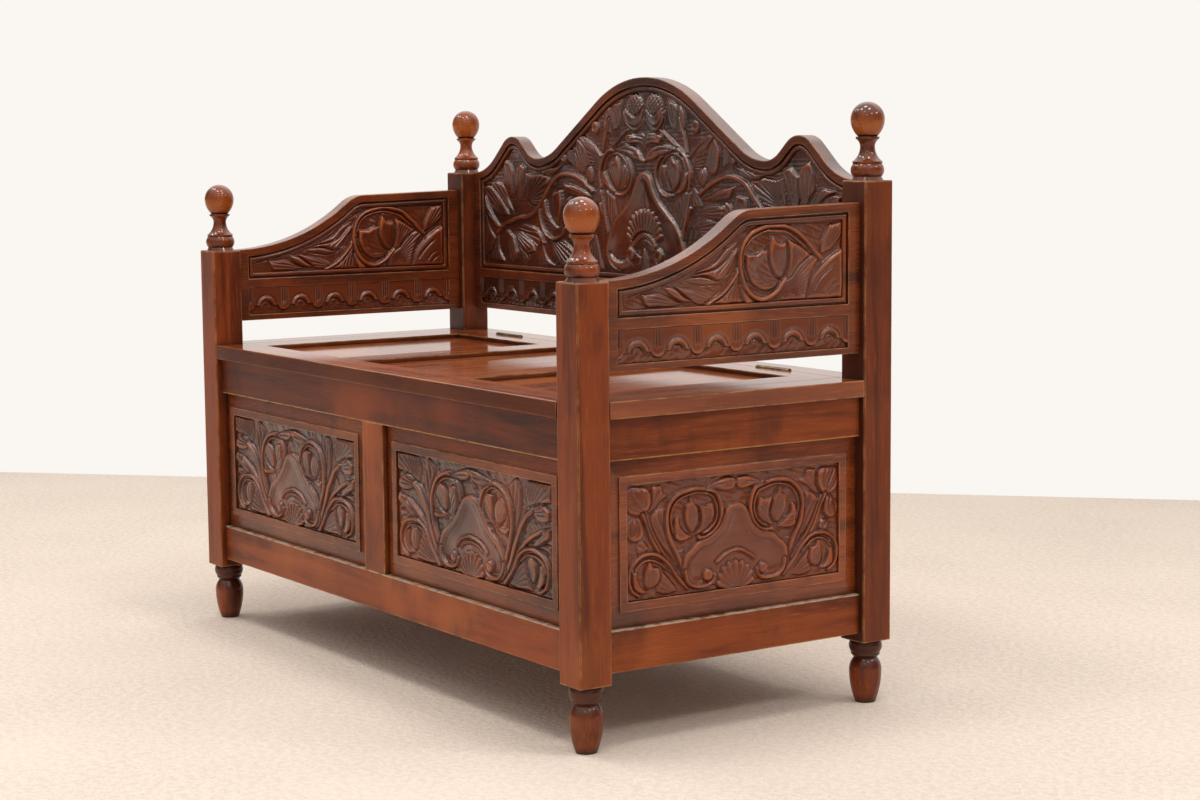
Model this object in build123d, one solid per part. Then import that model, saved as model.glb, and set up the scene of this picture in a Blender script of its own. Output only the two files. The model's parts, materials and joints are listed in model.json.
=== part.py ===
"""Carved hall bench: a panelled storage box on turned feet, a hinged seat lid, arms and an arched back.

Millimetres. The origin is on the floor under the middle of the box, the front is -Y, +X is to the right
as the bench is seen from the front, and +Z is up.
"""

import os
from math import asin, atan2, copysign, degrees, hypot, radians, sqrt, tan

from build123d import *

# Overall sizes
WIDTH = 1130.0
DEPTH = 526.0
POST = 50.0
FOOT_HEIGHT = 90.0
FRONT_POST_TOP = 616.0
REAR_POST_TOP = 736.0
SEAT_TOP = 461.0
SEAT_THICK = 23.0

# Frame and panel work of the box
FRAME_SETBACK = 10.0
RAIL_THICK = 24.0
TOP_RAIL_HEIGHT = 56.0
BOTTOM_RAIL_HEIGHT = 56.0
BOTTOM_RAIL_LIFT = 13.0
MUNTIN_WIDTH = 60.0
GROOVE_WIDTH = 6.0
GROOVE_DEPTH = 8.0
PANEL_PLAY = 1.0
FIELD_DEPTH = 3.0
FIELD_STEP = 3.5
PANEL_BEVEL = 22.0
CARVING_MARGIN = 12.0
CARVING_DEPTH = 5.0

# Mortise and tenon joints
TENON_THICK = 10.0
TENON_WEB = 2.0
SHOULDER_WEB = 2.0
POST_ARRIS = 1.5

# Box floor
FLOOR_THICK = 12.0
FLOOR_PLAY = 1.0
CLEAT = 18.0

# Turned feet and finials
SPIGOT_DIAMETER = 16.0
SPIGOT_LENGTH = 25.0
SPIGOT_CLEARANCE = 0.1
FOOT_TOE_DIAMETER = 28.5
FOOT_BELLY_DIAMETER = 46.0
FOOT_BELLY_DROP = 18.0
FOOT_NECK_DIAMETER = 33.0
FOOT_COVE = 5.0
FOOT_FILLET_DIAMETER = 41.0
FOOT_FILLET_HEIGHT = 3.0
FOOT_TORUS_DIAMETER = 47.0
FOOT_TORUS_HEIGHT = 18.0
FINIAL_BASE_DIAMETER = 44.4
FINIAL_BASE_HEIGHT = 5.0
FINIAL_TORUS_DIAMETER = 46.7
FINIAL_TORUS_HEIGHT = 18.0
FINIAL_DISC_DIAMETER = 41.7
FINIAL_DISC_HEIGHT = 3.0
FINIAL_NECK_DIAMETER = 20.6
FINIAL_NECK_RISE = 20.5
FINIAL_NECK_FLARE = 10.5
FINIAL_COLLAR_DIAMETER = 33.0
FINIAL_COLLAR_HEIGHT = 3.0
FINIAL_SEAT_DIAMETER = 26.0
FINIAL_BALL_DIAMETER = 47.5
FINIAL_BALL_LOWER = 24.0
FINIAL_BALL_UPPER = 24.0
FINIAL_TIP_DIAMETER = 2.0

# Seat lid
LID_GAP = 1.5
LID_FRONT_RAIL = 63.0
LID_REAR_RAIL = 46.5
LID_END_STILE = 57.5
LID_MIDDLE_STILE = 62.0
LID_PANEL_THICK = 10.0
LID_PANEL_RECESS = 7.0
LID_EDGE_ROUND = 2.5

# Butt hinges
HINGE_INSET = 150.5
HINGE_LENGTH = 76.0
KNUCKLES = 5
KNUCKLE_DIAMETER = 7.0
KNUCKLE_GAP = 0.4
PIN_DIAMETER = 4.0
PIN_CLEARANCE = 0.05
LEAF_THICK = 2.0
LEAF_HEIGHT = 18.0
BARREL_ROOM = 0.6
SCREW_DIAMETER = 3.0
SCREW_HEAD_DIAMETER = 5.6
SCREW_HEAD_HEIGHT = 1.3
SCREW_LENGTH = 14.0
SCREW_PITCH = 26.0
SCREW_DROP = 11.0
SCREW_CLEARANCE = 0.1

# Arms
ARM_THICK = 25.0
ARM_SETBACK = 11.0
ARM_GAP = 37.0
ARM_SWEEP_RADIUS = 330.0
ARM_RISE_ANGLE = 38.5
ARM_STRAIGHT = 3.0
ARM_SHOULDER_RADIUS = 54.0
ARM_TOP_SLOPE = 1.5

# Back board
BACK_THICK = 23.0
BACK_SETBACK = 25.0
BACK_GAP = 40.0
BACK_CREST = 890.0
CREST_RADIUS = 250.0
VALLEY_INNER_RADIUS = 112.0
VALLEY_OUTER_RADIUS = 52.0
PEAK_INNER_RADIUS = 42.0
PEAK_OUTER_RADIUS = 42.0
END_RADIUS = 105.0
VALLEY_INSET = 205.0
VALLEY_DROP = 37.0
PEAK_INSET = 127.0
PEAK_HEIGHT = 798.5
END_DROP = 62.5
BEND_ROOM = 0.97

# Sunk fields, beads and arcaded bands of the arms and the back
EDGE_LAND = 12.0
SIDE_LAND = 20.0
BEAD_GROOVE = 3.0
BEAD_WIDTH = 6.5
BEAD_ROUND = 2.4
BEAD_DROP = 0.6
FIELD_SUNK = 6.0
BAND_LAND = 9.0
BAND_HEIGHT = 45.0
BAND_RAIL = 15.0
BAND_SUNK = 5.0
BAND_RELIEF = 3.5
ARM_ARCHES = 6
BACK_ARCHES = 15
ARCH_RADIUS = 12.5
ARCH_CENTRE = 10.5
VALANCE_DROP = 31.0
PENDANT_WIDTH = 19.0
PENDANT_DROP = 7.5

# Places that follow from the sizes above
half_width = WIDTH / 2
half_depth = DEPTH / 2
inner_x = half_width - POST
inner_y = half_depth - POST
post_x = half_width - POST / 2
post_y = half_depth - POST / 2
seat_under = SEAT_TOP - SEAT_THICK
top_rail_low = seat_under - TOP_RAIL_HEIGHT
bottom_rail_low = FOOT_HEIGHT + BOTTOM_RAIL_LIFT
bottom_rail_top = bottom_rail_low + BOTTOM_RAIL_HEIGHT
tenon_shoulder = GROOVE_DEPTH + SHOULDER_WEB
rail_tenon = POST - FRAME_SETBACK - RAIL_THICK / 2 - TENON_THICK / 2 - TENON_WEB
tongue = GROOVE_DEPTH - PANEL_PLAY
foot_spigot = BOTTOM_RAIL_LIFT + tenon_shoulder - PANEL_PLAY - TENON_WEB
groove_set = (RAIL_THICK - GROOVE_WIDTH) / 2
arm_low = SEAT_TOP + ARM_GAP
back_low = SEAT_TOP + BACK_GAP
arm_tenon = BACK_SETBACK + (BACK_THICK - TENON_THICK) / 2 - TENON_WEB
back_tenon = POST - ARM_SETBACK - ARM_THICK / 2 - TENON_THICK / 2 - TENON_WEB
hinge_y = inner_y - LID_GAP / 2
lid_half = inner_x - LID_GAP
lid_rear = inner_y - LID_GAP

nodes = {}


def block(low, high):
    """A box between two corners."""
    size = [b - a for a, b in zip(low, high)]
    middle = [(a + b) / 2 for a, b in zip(low, high)]
    return Pos(*middle) * Box(*size)


def mirrored(low, high, sign):
    """The box between two corners, on the +X side for sign 1 and on the -X side for sign -1."""
    if sign > 0:
        return block(low, high)
    return block((-high[0], low[1], low[2]), (-low[0], high[1], high[2]))


# Walls of the box, with what they take out of the posts


class Side:
    """One wall of the box, drawn as the front wall and turned about Z to its place."""

    def __init__(self, turn, outer, span):
        self.turn = Rot(0, 0, turn)
        self.face = -(outer - FRAME_SETBACK)
        self.half = span / 2

    def rail(self, low, height, grooves):
        """A rail between two posts, with a tenon at each end and panel grooves along its edges."""
        face, half = self.face, self.half
        tenon_set = (RAIL_THICK - TENON_THICK) / 2
        body = block((-half, face, low), (half, face + RAIL_THICK, low + height))
        body += block(
            (-half - rail_tenon, face + tenon_set, low + tenon_shoulder),
            (half + rail_tenon, face + tenon_set + TENON_THICK, low + height - tenon_shoulder),
        )
        for edge in grooves:
            body -= block(
                (-half, face + groove_set, edge - GROOVE_DEPTH),
                (half, face + groove_set + GROOVE_WIDTH, edge + GROOVE_DEPTH),
            )
        return self.turn * body

    def mortises(self):
        """What the tenons and panel edges of this wall take out of the posts."""
        face, reach = self.face, self.half + rail_tenon + PANEL_PLAY
        tenon_set = (RAIL_THICK - TENON_THICK) / 2
        cut = block(
            (-self.half - GROOVE_DEPTH, face + groove_set, bottom_rail_top - GROOVE_DEPTH),
            (self.half + GROOVE_DEPTH, face + groove_set + GROOVE_WIDTH, top_rail_low + GROOVE_DEPTH),
        )
        for low, height in ((bottom_rail_low, BOTTOM_RAIL_HEIGHT), (top_rail_low, TOP_RAIL_HEIGHT)):
            cut += block(
                (-reach, face + tenon_set, low + tenon_shoulder),
                (reach, face + tenon_set + TENON_THICK, low + height - tenon_shoulder),
            )
        return self.turn * cut

    def muntin(self):
        """The upright between two panels, with stub tenons in the rail grooves."""
        face, half = self.face, MUNTIN_WIDTH / 2
        body = block((-half, face, bottom_rail_top), (half, face + RAIL_THICK, top_rail_low))
        body += block(
            (-half, face + groove_set, bottom_rail_top - tongue),
            (half, face + groove_set + GROOVE_WIDTH, top_rail_low + tongue),
        )
        for edge in (-half, half):
            body -= block(
                (edge - GROOVE_DEPTH, face + groove_set, bottom_rail_top - GROOVE_DEPTH),
                (edge + GROOVE_DEPTH, face + groove_set + GROOVE_WIDTH, top_rail_low + GROOVE_DEPTH),
            )
        return self.turn * body

    def plain_panel(self, left, right):
        """A flat panel whose edges sit in the grooves."""
        start = self.face + groove_set
        body = block(
            (left - tongue, start, bottom_rail_top - tongue),
            (right + tongue, start + GROOVE_WIDTH, top_rail_low + tongue),
        )
        return self.turn * body

    def fielded_panel(self, left, right):
        """A panel with bevelled margins round a raised field, sunk where it is carved."""
        start = self.face + groove_set
        width, height = right - left, top_rail_low - bottom_rail_top
        field_width, field_height = width - 2 * PANEL_BEVEL, height - 2 * PANEL_BEVEL
        bevel_rise = groove_set - FIELD_DEPTH - FIELD_STEP
        middle = ((left + right) / 2, 0, (bottom_rail_top + top_rail_low) / 2)
        front = Plane(origin=(middle[0], start, middle[2]), x_dir=(1, 0, 0), z_dir=(0, -1, 0))
        foot = front * Rectangle(width, height)
        shoulder = front.offset(bevel_rise) * Rectangle(field_width, field_height)
        field = extrude(shoulder, FIELD_STEP)
        carved = front.offset(bevel_rise + FIELD_STEP) * Rectangle(
            field_width - 2 * CARVING_MARGIN, field_height - 2 * CARVING_MARGIN
        )
        body = block(
            (left - tongue, start, bottom_rail_top - tongue),
            (right + tongue, start + GROOVE_WIDTH, top_rail_low + tongue),
        )
        body += loft([foot, shoulder])
        body += field
        body -= extrude(carved, -CARVING_DEPTH)
        return self.turn * body


front_side = Side(0, half_depth, 2 * inner_x)
right_side = Side(90, half_width, 2 * inner_y)
rear_side = Side(180, half_depth, 2 * inner_x)
left_side = Side(270, half_width, 2 * inner_y)
walls = {"front": front_side, "right": right_side, "rear": rear_side, "left": left_side}


def spigot_hole(length):
    """The socket for a turned piece's spigot, the same way up and down from its mouth."""
    return Cylinder(SPIGOT_DIAMETER / 2 + SPIGOT_CLEARANCE, 2 * (length + PANEL_PLAY))


def post(sign_x, sign_y, top):
    """A square corner post with softened arrises."""
    x, y = sign_x * post_x, sign_y * post_y
    body = Pos(x, y, (FOOT_HEIGHT + top) / 2) * Box(POST, POST, top - FOOT_HEIGHT)
    body = chamfer(body.edges().filter_by(Axis.Z) + body.edges().group_by(Axis.Z)[-1], POST_ARRIS)
    for wall in walls.values():
        body -= wall.mortises()
    body -= Pos(x, y, FOOT_HEIGHT) * spigot_hole(foot_spigot)
    body -= Pos(x, y, top) * spigot_hole(SPIGOT_LENGTH)
    return body


# Turned feet and finials


def foot(x, y):
    """A vase-shaped foot under a torus, with a spigot that goes up into the post."""
    spigot = SPIGOT_DIAMETER / 2
    spigot_top = FOOT_HEIGHT + foot_spigot
    torus_low = FOOT_HEIGHT - FOOT_TORUS_HEIGHT
    fillet_low = torus_low - FOOT_FILLET_HEIGHT
    toe = (FOOT_TOE_DIAMETER / 2, 0)
    neck = (FOOT_NECK_DIAMETER / 2, fillet_low - FOOT_COVE)
    belly = (FOOT_BELLY_DIAMETER / 2, neck[1] - FOOT_BELLY_DROP)
    ledge = (FOOT_FILLET_DIAMETER / 2, torus_low)
    rim = (FOOT_FILLET_DIAMETER / 2, FOOT_HEIGHT)
    outline = Polyline((spigot, spigot_top), (0, spigot_top), (0, 0), toe)
    outline += TangentArc(belly, toe, tangent=(0, -1))
    outline += TangentArc(belly, neck, tangent=(0, 1))
    outline += Polyline(neck, (ledge[0], fillet_low), ledge)
    outline += ThreePointArc(ledge, (FOOT_TORUS_DIAMETER / 2, (torus_low + FOOT_HEIGHT) / 2), rim)
    outline += Polyline(rim, (spigot, FOOT_HEIGHT), (spigot, spigot_top))
    return Pos(x, y, 0) * revolve(make_face(Plane.XZ * outline), Axis.Z)


def finial(x, y, top):
    """A ball on a waisted neck over a disc and a torus, with a spigot that goes down into the post."""
    spigot = SPIGOT_DIAMETER / 2
    base = FINIAL_BASE_DIAMETER / 2
    disc = FINIAL_DISC_DIAMETER / 2
    collar = FINIAL_COLLAR_DIAMETER / 2
    torus_top = FINIAL_BASE_HEIGHT + FINIAL_TORUS_HEIGHT
    disc_top = torus_top + FINIAL_DISC_HEIGHT
    neck = (FINIAL_NECK_DIAMETER / 2, disc_top + FINIAL_NECK_RISE)
    collar_low = neck[1] + FINIAL_NECK_FLARE
    ball_low = collar_low + FINIAL_COLLAR_HEIGHT
    ball_foot = (FINIAL_SEAT_DIAMETER / 2, ball_low)
    equator = (FINIAL_BALL_DIAMETER / 2, ball_low + FINIAL_BALL_LOWER)
    tip = (FINIAL_TIP_DIAMETER / 2, equator[1] + FINIAL_BALL_UPPER)
    waist = (base - FINIAL_BASE_HEIGHT / 2, FINIAL_BASE_HEIGHT)
    throat = (base - FINIAL_BASE_HEIGHT / 2, torus_top)
    spigot_end = -SPIGOT_LENGTH
    outline = Polyline(tip, (0, tip[1]), (0, spigot_end), (spigot, spigot_end), (spigot, 0))
    outline += Polyline((spigot, 0), (base, 0), waist)
    outline += ThreePointArc(waist, (FINIAL_TORUS_DIAMETER / 2, (waist[1] + throat[1]) / 2), throat)
    outline += Polyline(throat, (disc, torus_top), (disc, disc_top))
    outline += TangentArc(neck, (disc, disc_top), tangent=(0, -1))
    outline += TangentArc(neck, (collar, collar_low), tangent=(0, 1))
    outline += Polyline((collar, collar_low), (collar, ball_low), ball_foot)
    outline += TangentArc(equator, ball_foot, tangent=(0, -1))
    outline += TangentArc(equator, tip, tangent=(0, 1))
    return Pos(x, y, top) * revolve(make_face(Plane.XZ * outline), Axis.Z)


corners = {
    "front_left": (-1, -1, FRONT_POST_TOP),
    "front_right": (1, -1, FRONT_POST_TOP),
    "rear_left": (-1, 1, REAR_POST_TOP),
    "rear_right": (1, 1, REAR_POST_TOP),
}
for name, (sign_x, sign_y, top) in corners.items():
    nodes[f"{name}_post"] = post(sign_x, sign_y, top)
    nodes[f"{name}_foot"] = foot(sign_x * post_x, sign_y * post_y)
    nodes[f"{name}_finial"] = finial(sign_x * post_x, sign_y * post_y, top)

# Walls of the box
for name, wall in walls.items():
    nodes[f"{name}_top_rail"] = wall.rail(top_rail_low, TOP_RAIL_HEIGHT, [top_rail_low])
    nodes[f"{name}_bottom_rail"] = wall.rail(bottom_rail_low, BOTTOM_RAIL_HEIGHT, [bottom_rail_top])
half_muntin = MUNTIN_WIDTH / 2
nodes["front_muntin"] = front_side.muntin()
nodes["front_left_panel"] = front_side.fielded_panel(-inner_x, -half_muntin)
nodes["front_right_panel"] = front_side.fielded_panel(half_muntin, inner_x)
nodes["left_panel"] = left_side.fielded_panel(-inner_y, inner_y)
nodes["right_panel"] = right_side.fielded_panel(-inner_y, inner_y)
nodes["rear_muntin"] = rear_side.muntin()
nodes["rear_left_panel"] = rear_side.plain_panel(half_muntin, inner_x)
nodes["rear_right_panel"] = rear_side.plain_panel(-inner_x, -half_muntin)

# Box floor on cleats that are fixed inside the bottom rails
wall_x = half_width - FRAME_SETBACK - RAIL_THICK
wall_y = half_depth - FRAME_SETBACK - RAIL_THICK
floor_low = bottom_rail_low + CLEAT
floor = block(
    (-wall_x + FLOOR_PLAY, -wall_y + FLOOR_PLAY, floor_low),
    (wall_x - FLOOR_PLAY, wall_y - FLOOR_PLAY, floor_low + FLOOR_THICK),
)
for sign_x, sign_y, _ in corners.values():
    floor -= Pos(sign_x * post_x, sign_y * post_y, floor_low + FLOOR_THICK / 2) * Box(
        POST + 2 * FLOOR_PLAY, POST + 2 * FLOOR_PLAY, FLOOR_THICK
    )
nodes["box_floor"] = floor
nodes["front_floor_cleat"] = block(
    (-inner_x, -wall_y, bottom_rail_low), (inner_x, -wall_y + CLEAT, floor_low)
)
nodes["rear_floor_cleat"] = block(
    (-inner_x, wall_y - CLEAT, bottom_rail_low), (inner_x, wall_y, floor_low)
)
for name, sign in (("left", -1), ("right", 1)):
    nodes[f"{name}_floor_cleat"] = mirrored(
        (wall_x - CLEAT, CLEAT - wall_y, bottom_rail_low), (wall_x, wall_y - CLEAT, floor_low), sign
    )

# Butt hinges: knuckles along X at the top of the joint between the lid and the rear seat rail


def along_x(radius, length):
    return Rot(0, 90, 0) * Cylinder(radius, length)


def hinge_frame(centre_x):
    return Pos(centre_x, hinge_y, SEAT_TOP)


def knuckle_set(first, radius, length_change):
    """Every second knuckle of the barrel, from the given one on."""
    pitch = HINGE_LENGTH / KNUCKLES
    start = -HINGE_LENGTH / 2 + pitch / 2
    cylinders = [
        Pos(start + index * pitch, 0, 0) * along_x(radius, pitch + length_change)
        for index in range(first, KNUCKLES, 2)
    ]
    return Compound(cylinders)


def screw(clearance, head_side):
    """A countersunk screw along Y, its head flush at y = 0, going away from head_side."""
    head = SCREW_HEAD_DIAMETER / 2 + clearance
    shank = SCREW_DIAMETER / 2 + clearance
    length = SCREW_LENGTH + clearance
    outline = Polyline(
        (0, 0), (head, 0), (shank, SCREW_HEAD_HEIGHT), (shank, length), (0, length), (0, 0)
    )
    solid = revolve(make_face(Plane.XY * outline), Axis.Y)
    return solid if head_side < 0 else Rot(0, 0, 180) * solid


def screw_row(clearance, side):
    """The screws of one leaf, for side 1 in the rear seat rail and for side -1 in the lid."""
    return [
        Pos(x, side * LID_GAP / 2, -SCREW_DROP) * screw(clearance, -side)
        for x in (-SCREW_PITCH, 0, SCREW_PITCH)
    ]


def leaf(side):
    """A hinge leaf with its own knuckles, for side 1 on the rear seat rail and for side -1 on the lid."""
    near, far = LID_GAP / 2, LID_GAP / 2 + LEAF_THICK
    low_y, high_y = (near, far) if side > 0 else (-far, -near)
    plate = block((-HINGE_LENGTH / 2, low_y, -LEAF_HEIGHT), (HINGE_LENGTH / 2, high_y, 0))
    own = 0 if side > 0 else 1
    plate -= knuckle_set(1 - own, KNUCKLE_DIAMETER / 2 + BARREL_ROOM, KNUCKLE_GAP)
    plate += knuckle_set(own, KNUCKLE_DIAMETER / 2, -KNUCKLE_GAP)
    plate -= along_x(PIN_DIAMETER / 2 + PIN_CLEARANCE, HINGE_LENGTH + KNUCKLE_GAP)
    for hole in screw_row(SCREW_CLEARANCE, side):
        plate -= hole
    return plate


def gain(side):
    """The pocket that a leaf and the barrel take out of the wood."""
    far = LID_GAP / 2 + LEAF_THICK
    low_y, high_y = (0, far) if side > 0 else (-far, 0)
    pocket = block((-HINGE_LENGTH / 2, low_y, -LEAF_HEIGHT), (HINGE_LENGTH / 2, high_y, LEAF_THICK))
    pocket += along_x(KNUCKLE_DIAMETER / 2 + BARREL_ROOM, HINGE_LENGTH)
    for hole in screw_row(SCREW_CLEARANCE, side):
        pocket += hole
    return pocket


hinges = {"left": HINGE_INSET - lid_half, "right": lid_half - HINGE_INSET}
frame_screws = []
lid_screws = []
for name, centre_x in hinges.items():
    place = hinge_frame(centre_x)
    nodes[f"{name}_hinge_fixed_leaf"] = place * leaf(1)
    nodes[f"{name}_hinge_lid_leaf"] = place * leaf(-1)
    nodes[f"{name}_hinge_pin"] = place * along_x(PIN_DIAMETER / 2, HINGE_LENGTH)
    frame_screws += [place * one for one in screw_row(0, 1)]
    lid_screws += [place * one for one in screw_row(0, -1)]
nodes["seat_hinge_screws"] = Compound(frame_screws)
nodes["lid_hinge_screws"] = Compound(lid_screws)

# Fixed parts of the seat
seat_rear_rail = block((-inner_x, inner_y, seat_under), (inner_x, half_depth, SEAT_TOP))
for centre_x in hinges.values():
    seat_rear_rail -= hinge_frame(centre_x) * gain(1)
nodes["seat_rear_rail"] = seat_rear_rail
for name, sign in (("left", -1), ("right", 1)):
    nodes[f"{name}_seat_strip"] = mirrored(
        (inner_x, -inner_y, seat_under), (half_width, inner_y, SEAT_TOP), sign
    )

# Lid: a frame of two rails and four stiles round three sunk panels
lid_open_front = -half_depth + LID_FRONT_RAIL
lid_open_rear = lid_rear - LID_REAR_RAIL
lid_open_half = lid_half - LID_END_STILE
lid_panel_top = SEAT_TOP - LID_PANEL_RECESS
lid_panel_low = lid_panel_top - LID_PANEL_THICK
lid_panel_width = (2 * lid_open_half - 2 * LID_MIDDLE_STILE) / 3
lid_stile_centre = (lid_panel_width + LID_MIDDLE_STILE) / 2


def lid_rail(front, rear, groove_edge):
    rail = block((-lid_half, front, seat_under), (lid_half, rear, SEAT_TOP))
    return rail - block(
        (-lid_half, groove_edge - GROOVE_DEPTH, lid_panel_low),
        (lid_half, groove_edge + GROOVE_DEPTH, lid_panel_top),
    )


def lid_stile(left, right):
    """A stile between the lid rails, with stub tenons in their grooves and panel grooves in its edges."""
    stile = block((left, lid_open_front, seat_under), (right, lid_open_rear, SEAT_TOP))
    stile += block(
        (left, lid_open_front - tongue, lid_panel_low), (right, lid_open_rear + tongue, lid_panel_top)
    )
    for edge in (left, right):
        if abs(edge) < lid_half:
            stile -= block(
                (edge - GROOVE_DEPTH, lid_open_front - GROOVE_DEPTH, lid_panel_low),
                (edge + GROOVE_DEPTH, lid_open_rear + GROOVE_DEPTH, lid_panel_top),
            )
    return stile


def lid_panel(centre_x):
    half = lid_panel_width / 2 + tongue
    return block(
        (centre_x - half, lid_open_front - tongue, lid_panel_low),
        (centre_x + half, lid_open_rear + tongue, lid_panel_top),
    )


lid_front_rail = lid_rail(-half_depth, lid_open_front, lid_open_front)
nose = lid_front_rail.edges().filter_by(Axis.X).group_by(Axis.Y)[0]
nodes["lid_front_rail"] = fillet(nose, LID_EDGE_ROUND)
lid_rear_rail = lid_rail(lid_open_rear, lid_rear, lid_open_rear)
for centre_x in hinges.values():
    lid_rear_rail -= hinge_frame(centre_x) * gain(-1)
nodes["lid_rear_rail"] = lid_rear_rail
half_stile = LID_MIDDLE_STILE / 2
nodes["lid_left_stile"] = lid_stile(-lid_half, -lid_open_half)
nodes["lid_middle_left_stile"] = lid_stile(-lid_stile_centre - half_stile, -lid_stile_centre + half_stile)
nodes["lid_middle_right_stile"] = lid_stile(lid_stile_centre - half_stile, lid_stile_centre + half_stile)
nodes["lid_right_stile"] = lid_stile(lid_open_half, lid_half)
for name, centre_x in (("left", -2 * lid_stile_centre), ("middle", 0), ("right", 2 * lid_stile_centre)):
    nodes[f"lid_{name}_panel"] = lid_panel(centre_x)

# Carved boards: sunk fields with a bead round them, and arcaded bands


def spread(points):
    """A closed face through straight edges."""
    return make_face(Polyline(*points, close=True))


def window(left, right, low, high):
    return spread([(left, low), (right, low), (right, high), (left, high)])


def arcade(left, right, low, high, count):
    """A scalloped valance: round arches between drooping pendants, hanging from the top of a band."""
    pitch = (right - left) / count
    spring = high - VALANCE_DROP
    valance = window(left, right, spring, high)
    for index in range(1, count):
        valance += Pos(left + index * pitch, spring) * Ellipse(PENDANT_WIDTH / 2, PENDANT_DROP)
    for index in range(count):
        valance -= Pos(left + (index + 0.5) * pitch, low + ARCH_CENTRE) * Circle(ARCH_RADIUS)
    return valance


def carve(board, face_plane, outline, sides, band, arches):
    """Sinks the upper field, with its bead, and the arcaded band into one face of a board.

    The plane lies on the face, its normal outwards. The band is (low, high) and sides is (left, right).
    """
    left, right = sides
    band_low, band_high = band
    field_low = band_high + BAND_RAIL
    region = offset(outline, -EDGE_LAND) & window(left, right, field_low, 2 * BACK_CREST)
    inner = offset(region, -BEAD_GROOVE)
    ground = offset(region, -BEAD_GROOVE - BEAD_WIDTH)
    board -= extrude(face_plane * region, -FIELD_SUNK)
    bead = extrude(face_plane.offset(-FIELD_SUNK) * (inner - ground), FIELD_SUNK - BEAD_DROP)
    crown = bead.faces().sort_by(Axis(face_plane.origin, face_plane.z_dir))[-1]
    board += fillet(crown.edges(), BEAD_ROUND)
    board -= extrude(face_plane * window(left, right, band_low, band_high), -BAND_SUNK)
    board += extrude(
        face_plane.offset(-BAND_SUNK) * arcade(left, right, band_low, band_high, arches), BAND_RELIEF
    )
    return board


def arm_outline():
    """The arm from its end of the bench: a sweep from the front post to a level top at the rear post."""
    sweep = JernArc((-inner_y, FRONT_POST_TOP), (1, 0), ARM_SWEEP_RADIUS, ARM_RISE_ANGLE)
    rise = Line(sweep @ 1, sweep @ 1 + (sweep % 1) * ARM_STRAIGHT)
    shoulder = JernArc(rise @ 1, rise % 1, ARM_SHOULDER_RADIUS, ARM_TOP_SLOPE - ARM_RISE_ANGLE)
    bend = shoulder @ 1
    rear_top = bend.Y + (inner_y - bend.X) * tan(radians(ARM_TOP_SLOPE))
    rest = Polyline(bend, (inner_y, rear_top), (inner_y, arm_low), (-inner_y, arm_low), sweep @ 0)
    return make_face(Curve() + [sweep, rise, shoulder, rest]), rear_top


def arm(sign):
    """An arm carved on both faces, and the tenons that go into the posts."""
    outline, rear_top = arm_outline()
    inner_face = half_width - ARM_SETBACK - ARM_THICK
    inside = Plane(origin=(inner_face, 0, 0), x_dir=(0, 1, 0), z_dir=(1, 0, 0))
    outward = inside.offset(ARM_THICK)
    inward = Plane(origin=(inner_face, 0, 0), x_dir=(0, -1, 0), z_dir=(-1, 0, 0))
    sides = (-inner_y + SIDE_LAND, inner_y - SIDE_LAND)
    band = (arm_low + BAND_LAND, arm_low + BAND_LAND + BAND_HEIGHT)
    body = extrude(inside * outline, ARM_THICK)
    body = carve(body, outward, outline, sides, band, ARM_ARCHES)
    body = carve(body, inward, mirror(outline, Plane.YZ), sides, band, ARM_ARCHES)
    low = arm_low + tenon_shoulder
    front_high = FRONT_POST_TOP - tenon_shoulder - SPIGOT_LENGTH
    rear_high = min(rear_top, REAR_POST_TOP) - tenon_shoulder - SPIGOT_LENGTH
    tenon_face = inside.offset((ARM_THICK - TENON_THICK) / 2)
    tenons = extrude(tenon_face * window(-inner_y - arm_tenon, -inner_y, low, front_high), TENON_THICK)
    tenons += extrude(tenon_face * window(inner_y, inner_y + arm_tenon, low, rear_high), TENON_THICK)
    if sign < 0:
        return mirror(body + tenons, Plane.YZ), mirror(tenons, Plane.YZ)
    return body + tenons, tenons


def s_bend(start, across, fall, first_radius, second_radius):
    """A drop that is level at both ends: an arc, a straight run, an opposite arc. A negative fall rises.

    Radii too large for the drop are drawn in together until the straight run is a short one.
    """
    drop = abs(fall)
    share = min(1, BEND_ROOM * (across**2 + drop**2) / (2 * drop) / (first_radius + second_radius))
    reach = share * (first_radius + second_radius)
    lift = reach - drop
    apart = hypot(across, lift)
    turn = copysign(degrees(asin(reach / apart) - atan2(lift, across)), fall)
    first = JernArc(start, (1, 0), share * first_radius, -turn)
    run = Line(first @ 1, first @ 1 + (first % 1) * sqrt(apart**2 - reach**2))
    return [first, run, JernArc(run @ 1, run % 1, share * second_radius, turn)]


def back_outline():
    """The back from the front: a crest between two valleys and two side peaks, level along the bottom."""
    valley_low = PEAK_HEIGHT - VALLEY_DROP
    crest = (0, BACK_CREST)
    crest_drop = BACK_CREST - valley_low
    edges = s_bend(crest, inner_x - VALLEY_INSET, crest_drop, CREST_RADIUS, VALLEY_INNER_RADIUS)
    valley = edges[-1] @ 1
    apart = VALLEY_INSET - PEAK_INSET
    edges += s_bend(valley, apart, -VALLEY_DROP, VALLEY_OUTER_RADIUS, PEAK_INNER_RADIUS)
    edges += s_bend(edges[-1] @ 1, PEAK_INSET, END_DROP, PEAK_OUTER_RADIUS, END_RADIUS)
    end = edges[-1] @ 1
    edges.append(Polyline(end, (inner_x, back_low), (0, back_low), crest))
    half = make_face(Curve() + edges)
    return half + mirror(half, Plane.YZ), end.Y


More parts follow.
